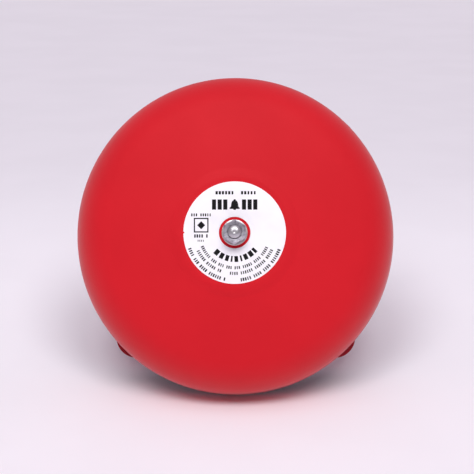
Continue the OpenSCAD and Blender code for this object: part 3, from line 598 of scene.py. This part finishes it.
start = new_tree("print_marks", {"Thickness": float, "Material": str})
block = start.node("GeometryNodeMeshCube", inputs={"Size": (1, 1, 1)})
mark_turn = note_of(start, "turn", "FLOAT")
mark_size = note_of(start, "size", "FLOAT_VECTOR")
mark_size = start.node("ShaderNodeVectorMath", {"operation": "MULTIPLY"},
                       {0: mark_size, 1: start.vector(1.0, 1.0, start["Thickness"])})
mark_aim = start.node("FunctionNodeEulerToRotation", inputs={0: start.vector(z=mark_turn)})
marking = end_tree(start, start.node("GeometryNodeInstanceOnPoints", inputs={
    "Points": start["Geometry"], "Instance": block, "Rotation": mark_aim, "Scale": mark_size}))

marks = []
chance = random.Random(11)


def dashes(length, pitch, fill):
    """Middles and widths of dashes along a line, in runs with gaps as words leave."""
    at, left = 0.0, chance.randint(3, 7)
    while at + pitch <= length:
        if left:
            width = pitch * fill * chance.uniform(0.75, 1.1)
            yield at + pitch / 2, width
            left -= 1
        else:
            left = chance.randint(3, 7)
        at += pitch


def row(x_from, x_to, y_low, y_high, pitch, fill=0.6):
    for at, width in dashes(x_to - x_from, pitch, fill):
        marks.append((x_from + at, (y_low + y_high) / 2, 0, width, y_high - y_low))


def arch(radius, from_deg, to_deg, height, pitch, fill=0.55):
    """Dashes along an arc under the hole, standing square to it."""
    for at, width in dashes(radius * radians(to_deg - from_deg), pitch, fill):
        angle = radians(from_deg) + at / radius
        marks.append((radius * cos(angle), radius * sin(angle), angle + pi / 2, width, height))


# Rows over the bars and round the badge, then arcs of fine dashes inside the lower edge.
row(-9.0, 1.3, 17.6, 19.1, 1.45, 0.68)
row(2.7, 10.0, 17.6, 19.1, 1.45, 0.68)
row(-20.2, -10.6, 7.5, 8.8, 1.05)
row(-18.8, -12.0, -2.3, -0.8, 1.1, 0.66)
row(-17.2, -13.4, -4.2, -3.3, 0.8, 0.5)
arch(16.2, 202, 339.5, 1.4, 0.95, 0.6)
arch(18.8, 205.4, 253.2, 1.4, 1.0, 0.6)
arch(18.8, 262.7, 339, 1.4, 1.0, 0.6)
arch(21.9, 198.6, 260.7, 1.5, 1.05, 0.64)
arch(21.9, 276.6, 344.4, 1.5, 1.05, 0.64)

# Bold blocks close under the hole, upright bars each side of the bell, and the badge.
block_r, block_h = 12.2, 2.7
for degrees, width in ((228, 2.1), (241, 1.9), (253.5, 1.6), (263.5, 0.8), (273.5, 1.7), (284, 0.8),
                       (294.5, 1.8), (307, 2.0), (318, 1.3)):
    angle = radians(degrees)
    marks.append((block_r * cos(angle), block_r * sin(angle), angle + pi / 2, width, block_h))
bar_y, bar_w, bar_h = 12.9, 1.9, 4.7
for x in (4.3, 6.9, 9.5):
    marks += [(-x, bar_y, 0, bar_w, bar_h), (x, bar_y, 0, bar_w, bar_h)]
badge_x, badge_y, badge_half, badge_line, diamond = -15.4, 3.4, 3.1, 0.55, 2.6
for side in (-1, 1):
    marks.append((badge_x, badge_y + side * badge_half, 0, 2 * badge_half + badge_line, badge_line))
    marks.append((badge_x + side * badge_half, badge_y, 0, badge_line, 2 * badge_half - badge_line))
marks.append((badge_x, badge_y, pi / 4, diamond, diamond))

sheet = bpy.data.meshes.new("marks")
sheet.from_pydata([(x, y, label_high.z) for x, y, *_ in marks], [], [])
noted(sheet, "turn", "FLOAT", [turn for _, _, turn, _, _ in marks])
noted(sheet, "size", "FLOAT_VECTOR", [(width, high, 1.0) for *_, width, high in marks])
ink = grown("ink", marking, {"Thickness": 2 * print_t, "Material": label_ink}, sheet)

# The small bell: its right side from the clapper up to the crown, and the same mirrored.
bell_side = [(0.5, 10.45), (0.7, 10.9), (2.3, 10.9), (2.3, 11.4), (1.7, 12.0), (1.5, 13.6),
             (1.1, 14.5), (0.45, 14.95), (0.4, 15.35)]
bell_outline = bell_side + [(-x, y) for x, y in reversed(bell_side)]
emblem = bmesh.new()
emblem.from_mesh(ink.data)
bottom = emblem.faces.new([emblem.verts.new(STAND @ Vector((x, y, label_high.z - print_t)))
                           for x, y in bell_outline])
raised = bmesh.ops.extrude_face_region(emblem, geom=[bottom])["geom"]
bmesh.ops.translate(emblem, verts=[v for v in raised if isinstance(v, bmesh.types.BMVert)],
                    vec=STAND.to_3x3() @ Vector((0, 0, 2 * print_t)))
for face in emblem.faces:
    face.material_index = 1
emblem.from_mesh(label_disc.data)
bmesh.ops.recalc_face_normals(emblem, faces=emblem.faces)
emblem.to_mesh(label_disc.data)
emblem.free()
bpy.data.objects.remove(ink)
label_disc.data.materials.append(label_ink)
label_disc.data.set_sharp_from_angle(angle=radians(30))
fitted(label_disc, "gong_label")

# ---- Washers and nut on the gong ----
# A pressed steel washer, a split spring washer and a chamfered hexagon nut, all zinc plated.
# The nut stands with a corner up.
washer_zinc = plated("washer_zinc", zinc, rgb(172, 171, 171), 0.26)
nut_zinc = plated("nut_zinc", rgb(200, 196, 206), rgb(112, 106, 118), 0.25, depth=0.03,
                  tarnish=0.85, cloud_size=1.5)
washer_low, washer_high = wall_box("gong_washer")
bore_gap = 0.1
stud_bore_r = stud_r + bore_gap
fitted(turned("washer_ring", corners(
    (stud_bore_r, washer_low.z, 0.1), (washer_high.x, washer_low.z, 0.1),
    (washer_high.x, washer_high.z, 0.35), (stud_bore_r, washer_high.z, 0.15)), washer_zinc,
    steps=96), "gong_washer")
softened("gong_lock_washer", 0.2, washer_zinc)
nut_low, nut_high = wall_box("gong_nut")
nut_flats = nut_high.x - nut_low.x
nut_chamfer, nut_face_r = 0.8, nut_flats / 2 - 0.25
nut_blank_r = nut_flats / 2 / cos(radians(30)) + 0.1
countersink, chamfer_rows = 0.5, 10
nut_side = [Vector((nut_face_r + (nut_blank_r - nut_face_r) * i / chamfer_rows, 0,
                    nut_high.z - nut_chamfer * i / chamfer_rows)) for i in range(chamfer_rows + 1)]
nut_section = (corners((stud_r, nut_high.z - countersink, 0),
                       (stud_r + countersink, nut_high.z, 0.1), closed=False)
               + nut_side + [Vector((nut_blank_r, 0, nut_low.z)), Vector((stud_r, 0, nut_low.z))])
fitted(turned("nut_hexagon", nut_section + nut_section[:1], nut_zinc, steps=120,
              flats=nut_flats, crease=22), "gong_nut")

# ---- Motor ----
# A small direct-current motor in a drawn, nickel-plated can: two ferrite magnets inside, a
# nylon end cap with brass terminals and brushes, and sintered bronze bearings.
motor_zinc = plated("motor_zinc", rgb(222, 220, 216), rgb(184, 181, 176), 0.18, streak=(0.15, 2, 2))
white_nylon = moulded("white_nylon", rgb(228, 226, 216), rgb(216, 213, 202), size=1.2,
                      depth=0.01, roughness=0.4)
contact_brass = plated("contact_brass", rgb(222, 190, 120), rgb(176, 142, 84), 0.2)
bronze = flecked("sintered_bronze", rgb(150, 112, 68), rgb(110, 80, 50), size=0.35,
                 roughness=0.4, depth=0.02)
ferrite = flecked("ferrite", rgb(58, 57, 60), rgb(76, 74, 76), size=0.5, roughness=0.55, depth=0.03)
carbon = flecked("carbon", rgb(36, 36, 38), rgb(60, 59, 60), size=0.3, roughness=0.5, depth=0.02)
bracket_zinc = plated("bracket_zinc", rgb(216, 215, 211), rgb(176, 176, 172), 0.28, streak=(0.2, 2, 2))
for part in (("motor_can", 0.5, motor_zinc), ("motor_end_cap", 0.15, white_nylon),
             ("motor_bushings", 0.15, bronze), ("motor_magnets", 0.15, ferrite),
             ("motor_terminals", 0.1, contact_brass), ("brush_leaves", 0.05, contact_brass),
             ("brush_blocks", 0.1, carbon), ("motor_bracket", 0.25, bracket_zinc)):
    softened(*part)

# The motor's bracket is screwed to the housing's floor, and two screws hold the can to it.
drive_z, motor_y = 28.0, -17.0
bracket_t = 1.5
bracket_top = housing_floor + bracket_t
bracket_front = wall_box("motor_bracket")[1].x
foot_spots = [(x, y, bracket_top) for x, y in ((-20, -24), (-20, -10), (-6, -41), (6, -41))]
screws("bracket_screw_set", "bracket_screws", foot_spots, shank_r=1.5, shank_l=3.3, seed=7)


def along_x(x):
    """Puts a piece that is drawn upright on the motor's shaft, running right."""
    return Matrix.Translation((x, motor_y, drive_z)) @ Matrix.Rotation(radians(90), 4, "Y")


screws("motor_screw_set", "motor_screws", [(0, -9, 0), (0, 9, 0)], shank_r=1.25, shank_l=3,
       at=along_x(bracket_front), seed=2)

# ---- Rotor ----
# The shaft carries a laminated three-pole armature wound with enamelled copper, a commutator
# on a fibre hub, and the steel disc whose crank pin works the striker through a nylon roller.
core_steel = plated("core_steel", rgb(150, 150, 154), rgb(110, 110, 114), 0.35,
                    streak=(9, 0.2, 0.2), size=2.0, depth=0.03)
winding_copper = plated("winding_copper", rgb(196, 116, 68), rgb(150, 82, 46), 0.25,
                        streak=(6, 0.3, 0.3), size=1.8, depth=0.05)
screw_black = plated("screw_black", rgb(52, 51, 54), rgb(38, 38, 40), 0.35)
for part in (("motor_shaft", 0.15, turned_steel), ("armature_core", 0.08, core_steel),
             ("armature_windings", 0.25, winding_copper), ("commutator_hub", 0.1, fibre),
             ("commutator", 0.08, winding_copper), ("eccentric_disc", 0.25, turned_steel),
             ("set_screw", 0.08, screw_black)):
    softened(*part)
pin_box = wall_box("crank_pin")
crank_y = (pin_box[0].y + pin_box[1].y) / 2
roller_low, roller_high = wall_box("crank_roller")
crank_r, crank_shoulder_r, roller_gap, side_gap = 1.25, 2.0, 0.05, 0.3
disc_face = wall_box("eccentric_disc")[1].x
crank_at = Matrix.Translation((0, crank_y - motor_y, 0)) @ along_x(0)
fitted(turned("crank_pin_turning", corners(
    (0, pin_box[0].x, 0), (crank_r, pin_box[0].x, 0.15), (crank_r, disc_face, 0),
    (crank_shoulder_r, disc_face, 0.1), (crank_shoulder_r, roller_low.x - side_gap, 0.15),
    (crank_r, roller_low.x - side_gap, 0), (crank_r, roller_high.x + side_gap, 0),
    (crank_shoulder_r, roller_high.x + side_gap, 0.15), (crank_shoulder_r, pin_box[1].x, 0.3),
    (0, pin_box[1].x, 0), closed=False), turned_steel, steps=40, at=crank_at), "crank_pin")
roller_r = (roller_high.y - roller_low.y) / 2
fitted(turned("roller_turning", corners(
    (crank_r + roller_gap, roller_low.x, 0.2), (roller_r, roller_low.x, 0.5),
    (roller_r, roller_high.x, 0.5), (crank_r + roller_gap, roller_high.x, 0.2)), white_nylon,
    steps=56, at=crank_at), "crank_roller")

# ---- Striker ----
# A ground steel rod with a brass head and a nylon tail slides in two nylon bushes, one in a
# bent steel bracket and one through the housing's lower wall. A ring and a seat take the spring.


def down(y):
    """Puts a piece that is drawn upright on the striker's axis, running down."""
    return Matrix.Translation((0, y, drive_z)) @ Matrix.Rotation(radians(90), 4, "X")


softened("striker_bracket", 0.25, bracket_zinc)
spring_steel = plated("spring_steel", rgb(158, 158, 164), rgb(112, 112, 118), 0.28,
                      streak=(1, 1, 4), size=1.0)
softened("retaining_ring", 0.12, spring_steel)
striker_brass = plated("striker_brass", rgb(214, 180, 108), rgb(170, 136, 76), 0.24,
                       streak=(0.3, 0.3, 3))
rod_r, running_gap, ring_groove = 2.5, 0.05, 0.4
rod_low, rod_high = wall_box("striker_rod")
ring_low, ring_high = wall_box("retaining_ring")
rod_l = rod_high.y - rod_low.y
ring_from, ring_to = rod_high.y - ring_high.y, rod_high.y - ring_low.y
fitted(turned("rod_turning", corners(
    (0, 0, 0), (rod_r, 0, 0.4), (rod_r, ring_from, 0.05), (rod_r - ring_groove, ring_from, 0),
    (rod_r - ring_groove, ring_to, 0), (rod_r, ring_to, 0.05), (rod_r, rod_l, 0.4), (0, rod_l, 0),
    closed=False), turned_steel, steps=56, at=down(rod_high.y)), "striker_rod")
tail_low, tail_high = wall_box("striker_tail")
tail_r, tail_h = tail_high.x, tail_high.y - tail_low.y
tail_cup = tail_high.y - rod_high.y
fitted(turned("tail_button", corners(
    (0, 0, 0), (tail_r, 0, 0.6), (tail_r, tail_h, 0.3), (rod_r, tail_h, 0), (rod_r, tail_cup, 0),
    (0, tail_cup, 0), closed=False), white_nylon, steps=56, at=down(tail_high.y)), "striker_tail")
head_low, head_high = wall_box("striker_head")
head_r, head_h, head_dome_r = head_high.x, head_high.y - head_low.y, 11.0
head_bore = head_high.y - rod_low.y
neck_r, neck_from, neck_to, neck_slope = head_r - 0.35, 2.5, 3.1, 0.3
nose_steps = 10


def nose_height(r):
    """How far down the striking end's dome reaches at a radius."""
    return head_h - head_dome_r + sqrt(head_dome_r ** 2 - r ** 2)


nose = [(head_r * i / nose_steps, nose_height(head_r * i / nose_steps), 0)
        for i in range(nose_steps)]
fitted(turned("head_turning", corners(
    *nose, (head_r, nose_height(head_r), 0.5), (head_r, neck_to + neck_slope, 0.1),
    (neck_r, neck_to, 0.1), (neck_r, neck_from, 0.1), (head_r, neck_from - neck_slope, 0.1),
    (head_r, 0, 0.6), (rod_r, 0, 0.1), (rod_r, head_bore, 0), (0, head_bore, 0), closed=False),
    striker_brass, steps=72, at=down(head_high.y)), "striker_head")
seat_low, seat_high = wall_box("spring_seat")
seat_t = seat_high.y - seat_low.y
seat_bore_r = rod_r + bore_gap
fitted(turned("seat_washer", corners(
    (seat_bore_r, 0, 0.1), (seat_high.x, 0, 0.25), (seat_high.x, seat_t, 0.1),
    (seat_bore_r, seat_t, 0.1)), washer_zinc, steps=56, at=down(seat_high.y)), "spring_seat")
bush_flange_r = 6.0
for node, barrel_r, flange_t, name in (("guide_bush_upper", 3.5, 1.0, "bush_by_crank"),
                                       ("guide_bush_lower", 4.5, 2.0, "bush_in_wall")):
    low, high = wall_box(node)
    length = high.y - low.y
    bore = rod_r + running_gap
    fitted(turned(name, corners(
        (bore, 0, 0.3), (bush_flange_r, 0, 0.35), (bush_flange_r, flange_t, 0.1),
        (barrel_r, flange_t, 0), (barrel_r, length, 0.4), (bore, length, 0.3)), white_nylon,
        steps=64, at=down(high.y)), node)

# The return spring: hard-drawn wire coiled open between the seat and the lower bush, with
# its end turns closed.
spring_low, spring_high = wall_box("return_spring")
wire_r, coil_r, spring_turns = 0.4, 3.7, 5.0
spring_l = spring_high.y - spring_low.y
slide = next(joint for joint in frame["joints"] if joint["name"] == "striker_slide")
stroke = slide["range_m"][1] / MM
start = new_tree("coil_spring", {"Turns": float, "Coil Radius": float, "Wire Radius": float,
                                 "Length": float, "Material": str})
coil_points = start.node("GeometryNodeCurvePrimitiveLine", inputs={"Start": (0, 0, 0),
                                                                  "End": (0, 0, 1)})
coil_points = start.node("GeometryNodeResampleCurve", inputs={"Curve": coil_points, "Count": 160})
along = start.node("GeometryNodeSplineParameter")
swing = along * start["Turns"] * (2 * pi)
rise = (start["Wire Radius"] + (start["Length"] - start["Wire Radius"] * 2)
        * (0.5 - 0.5 * start.math("COSINE", along * pi)))
coil = start.node("GeometryNodeSetPosition", inputs={
    "Geometry": coil_points, "Position": start.vector(
        start["Coil Radius"] * start.math("COSINE", swing),
        start["Coil Radius"] * start.math("SINE", swing), rise)})
wire_ring = start.node("GeometryNodeCurvePrimitiveCircle", inputs={
    "Resolution": 10, "Radius": start["Wire Radius"]})
coiling = end_tree(start, start.node("GeometryNodeCurveToMesh", inputs={
    "Curve": coil, "Profile Curve": wire_ring, "Fill Caps": True}))
spring = grown("spring_coil", coiling, {
    "Turns": spring_turns, "Coil Radius": coil_r, "Wire Radius": wire_r, "Length": spring_l,
    "Material": spring_steel},
    bpy.data.meshes.new("spring_coil"), down(spring_high.y))
fitted(spring, "return_spring")
1 - stroke / spring_l
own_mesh(spring)

# ---- Circuit board ----
# Glass-filled board with a green lacquer, on four nylon spacers. It carries a film capacitor,
# a diode and a disc varistor, whose wire legs are soldered through it.


def lacquered(name, colour, shade, size, depth, roughness=0.3):
    """A lacquered or dipped face: glossy over a woven or wavy ground."""
    material, place = finish(name)
    weave = grain(place, size, 1, (1, 1, 3)) * grain(place, size, 1, (3, 1, 1))
    cloud = grain(place, size=7, detail=3)
    return surface(material, place, {
        "Base Color": tint(step(cloud, 0.3, 0.7), colour, shade),
        "Roughness": roughness + 0.12 * cloud, "Coat Weight": 0.3 + 0.2 * cloud,
        "Normal": bumped(weave, depth)})


board_green = lacquered("board_green", rgb(34, 112, 66), rgb(26, 92, 54), size=0.8, depth=0.02)
capacitor_yellow = lacquered("capacitor_yellow", rgb(222, 178, 46), rgb(208, 162, 38), size=2.0,
                             depth=0.01)
varistor_blue = lacquered("varistor_blue", rgb(42, 86, 158), rgb(34, 72, 138), size=1.6,
                          depth=0.04, roughness=0.25)
component_black = moulded("component_black", rgb(36, 36, 38), rgb(46, 45, 47), size=0.3,
                          depth=0.01, roughness=0.4)
for part in (("circuit_board", 0.08, board_green), ("suppressor_capacitor", 0.3, capacitor_yellow),
             ("polarity_diode", 0.2, component_black), ("varistor", 0.8, varistor_blue)):
    softened(*part)
board_low, board_high = wall_box("circuit_board")
hole_inset, board_screw_r, tip_gap = 4.0, 1.2, 0.2
board_holes = [(x, y) for x in (board_low.x + hole_inset, board_high.x - hole_inset)
               for y in (board_low.y + hole_inset, board_high.y - hole_inset)]
spacer_bore, spacer_r = board_screw_r + bore_gap, 3.0
fitted(turned("spacer_set", corners(
    (spacer_bore, housing_floor, 0.1), (spacer_r, housing_floor, 0.2),
    (spacer_r, board_low.z, 0.2), (spacer_bore, board_low.z, 0.1)), white_nylon, steps=40,
    spots=[(x, y, 0) for x, y in board_holes]), "board_spacers")
screws("board_screw_set", "board_screws", [(x, y, board_high.z) for x, y in board_holes],
       board_screw_r, board_high.z - plate_face - tip_gap, seed=4)

# ---- Terminal block ----
# A moulded plastic block with four ways. In each way a plated clamp and its screw grip a wire,
# and two longer screws hold the block down.
block_plastic = moulded("block_plastic", rgb(46, 72, 110), rgb(38, 62, 96), size=0.6,
                        depth=0.02, roughness=0.42)
softened("terminal_block", 0.25, block_plastic)
softened("terminal_clamps", 0.15, bracket_zinc)
block_low, block_high = wall_box("terminal_block")
block_mid = (block_low + block_high) / 2
ways, hole_edge, clamp_seat_h = 4, 1.6, 9.2
way_pitch = (block_high.x - block_low.x) / (ways + 0.5)
screws("clamp_screw_set", "terminal_screws",
       [(block_mid.x + (way - 1.5) * way_pitch, block_mid.y, housing_floor + clamp_seat_h)
        for way in range(ways)], shank_r=1.2, shank_l=3.6, seed=9)
screws("block_screw_set", "block_screws",
       [(x, block_mid.y, block_high.z) for x in (block_low.x + hole_edge, block_high.x - hole_edge)],
       shank_r=1.0, shank_l=block_high.z - plate_face - tip_gap, seed=6)

# ---- Leads ----
# Stranded wire in a soft insulation, cut to length: two leads run from the motor's terminals
# round the housing to the board, and two from the board into the terminal block.
motor_routes = [
    [(-42.8, -12, 26.7), (-42.8, -12, 20), (-43, -11.4, 14), (-42.6, -7, 10), (-40, 0, 9),
     (-35, 6, 9), (-26, 9.8, 9), (-14, 10.2, 9), (-4, 10, 9), (4, 9.6, 10.6), (10, 8.4, 14),
     (14.5, 6.2, 17), (17.5, 3.6, 17.6), (19, 0.6, 16.8), (19.2, 0, 15.2), (19.2, 0, 13.7)],
    [(-42.8, -22, 26.7), (-42.8, -22, 20), (-43.2, -21, 13), (-43.6, -15, 9), (-43.4, -6, 7.4),
     (-41.5, 2, 7.2), (-36, 8, 7.2), (-26, 11.6, 7.2), (-14, 12, 7.2), (-4, 11.8, 7.2),
     (6, 11.6, 8.4), (13, 11, 12), (18.5, 9, 16), (22, 5.4, 17.4), (23.6, 1, 16.8),
     (24, 0, 15.2), (24, 0, 13.7)]]
supply_routes = [
    [(30, 0, 13.7), (30, 0, 15.2), (29.8, 1, 16.8), (28.6, 4, 17.6), (27, 7.4, 16),
     (25.2, 10.6, 12.4), (24.2, 13.4, 9.8), (24, 16, 9.2), (24, 19, 9.2)],
    [(34, 0, 13.7), (34, 0, 15.2), (33.9, 1, 16.8), (33.6, 4, 17.6), (33, 7.4, 16),
     (32.4, 10.6, 12.4), (32, 13.4, 9.8), (32, 16, 9.2), (32, 19, 9.2)]]
start = new_tree("insulated_leads", {"Radius": float, "Spacing": float, "Material": str})
run = start.node("GeometryNodeMeshToCurve", inputs={"Mesh": start["Geometry"]})
run = run.node("GeometryNodeCurveSplineType", {"spline_type": "CATMULL_ROM"}, {"Curve": run})
run = run.node("GeometryNodeResampleCurve", {"mode": "LENGTH"},
               {"Curve": run, "Length": start["Spacing"]})
jacket = start.node("GeometryNodeCurvePrimitiveCircle", inputs={
    "Resolution": 14, "Radius": start["Radius"]})
lead_r, lead_step = 0.7, 0.7
wiring = end_tree(start, start.node("GeometryNodeCurveToMesh", inputs={
    "Curve": run, "Profile Curve": jacket, "Fill Caps": True}))
for name, node, routes, colour, shade in (
        ("motor_lead_pair", "motor_leads", motor_routes, rgb(186, 28, 30), rgb(166, 24, 26)),
        ("supply_lead_pair", "supply_leads", supply_routes, rgb(30, 30, 32), rgb(40, 40, 42))):
    chain = bpy.data.meshes.new(name)
    chain.from_pydata([p for route in routes for p in route],
                      [(i, i + 1) for i in range(sum(map(len, routes)) - 1)
                       if i + 1 != len(routes[0])], [])
    jacket_finish = moulded(SLOT_OF[node], colour, shade, size=1.5, depth=0.02, roughness=0.35)
    fitted(grown(name, wiring, {"Radius": lead_r, "Spacing": lead_step,
                                "Material": jacket_finish}, chain), node)

# ---- Floor, light and camera ----
# A matt pale paper sweep that slopes up behind the bell and carries the rim's shadow. Two soft
# key lights stand high in front and a broad one hangs above. The walls glow, less so in front.
floor_y, floor_z = -rim_z * MM, -rim_r * MM
floor_reach, first_pace, pace_growth = 6.0, 0.004, 1.018
steep, gentle = radians(27), radians(14)
steep_from, steep_to, front_blend, back_blend = -0.3, 0.06, 0.3, 0.24


def eased(value, start, end):
    t = min(1, max(0, (value - start) / (end - start)))
    return t * t * (3 - 2 * t)


def floor_slope(y):
    """Slope of the sweep: steep under the bell and gentle away from it."""
    near = (eased(y, steep_from - front_blend, steep_from)
            * (1 - eased(y, steep_to, steep_to + back_blend)))
    return tan(gentle) + (tan(steep) - tan(gentle)) * near


sweep = [(floor_y, floor_z)]
for direction in (1, -1):
    y, z = floor_y, floor_z
    pace = direction * first_pace
    side = []
    while abs(y) <= floor_reach:
        z += floor_slope(y + pace / 2) * pace
        y += pace
        pace *= pace_growth
        side.append((y, z))
    sweep = sweep + side if direction == 1 else side[::-1] + sweep
floor_mesh = bpy.data.meshes.new("floor")
floor_mesh.from_pydata([(x, y, z) for y, z in sweep for x in (-floor_reach, floor_reach)], [],
                       [(2 * i, 2 * i + 1, 2 * i + 3, 2 * i + 2) for i in range(len(sweep) - 1)])
floor_mesh.shade_smooth()
floor_finish, place = finish("floor_sweep")
mottle = grain(place, size=60)
surface(floor_finish, place, {
    "Base Color": tint(step(mottle, 0.3, 0.7), rgb(246, 243, 250), rgb(244, 241, 248)),
    "Roughness": 0.9, "Specular IOR Level": 0.0})
floor = new_piece("floor", floor_mesh)
floor_mesh.materials.append(floor_finish)

# The walls are seen as one pale tone. What they cast on the bell is weaker from in front.
world = bpy.data.worlds.new("studio")
bpy.context.scene.world = world
world.use_nodes = True
world.node_tree.nodes.clear()
compass = Wire(world.node_tree).node("ShaderNodeTexCoord", out="Generated")
compass = compass.node("ShaderNodeSeparateXYZ", inputs={0: compass})
glow = 0.56 - 0.36 * step(0 - compass["Y"], 0.1, 0.9)
seen = compass.node("ShaderNodeLightPath", out="Is Camera Ray")
backdrop = seen.node("ShaderNodeBackground", inputs={
    "Color": tint(seen, rgb(236, 222, 236), rgb(232, 226, 235)),
    "Strength": glow + seen * (1 - glow)})
backdrop.node("ShaderNodeOutputWorld", inputs={"Surface": backdrop})

key_energy, key_spread, key_side = 0.96, radians(22), 0.2
top_energy, top_width = 0.8, 0.45
top_from, top_to = Vector((0, -0.5, 0.42)), Vector((0, -0.2, -0.16))


def aimed(direction):
    """The turn that points a light or a camera along a direction."""
    return direction.to_track_quat("-Z", "Y").to_euler()


for side in (-key_side, key_side):
    key = bpy.data.lights.new("key_light", "SUN")
    key.energy, key.angle = key_energy, key_spread
    new_piece("key_light", key).rotation_euler = aimed(Vector((side, 0.86, -0.5)))

top = bpy.data.lights.new("top_light", "AREA")
top.shape, top.size, top.energy = "SQUARE", top_width, top_energy
top_light = new_piece("top_light", top)
top_light.location = top_from
top_light.rotation_euler = aimed(top_to - top_from)

frame_half, camera_distance = rim_r * 1.5 * MM, 1.15
elevation, azimuth = radians(-2.9), radians(0.5)
aim_point = Vector((0.76 * MM, floor_y, -0.19 * MM))
lens = bpy.data.cameras.new("camera")
lens.sensor_width = 36
lens.lens = lens.sensor_width / 2 * camera_distance / frame_half
camera = new_piece("camera", lens)
toward = Vector((sin(azimuth) * cos(elevation), -cos(azimuth) * cos(elevation), sin(elevation)))
camera.location = aim_point + toward * camera_distance
camera.rotation_euler = aimed(-toward)
bpy.context.scene.camera = camera
bpy.context.scene.view_settings.view_transform = "Standard"
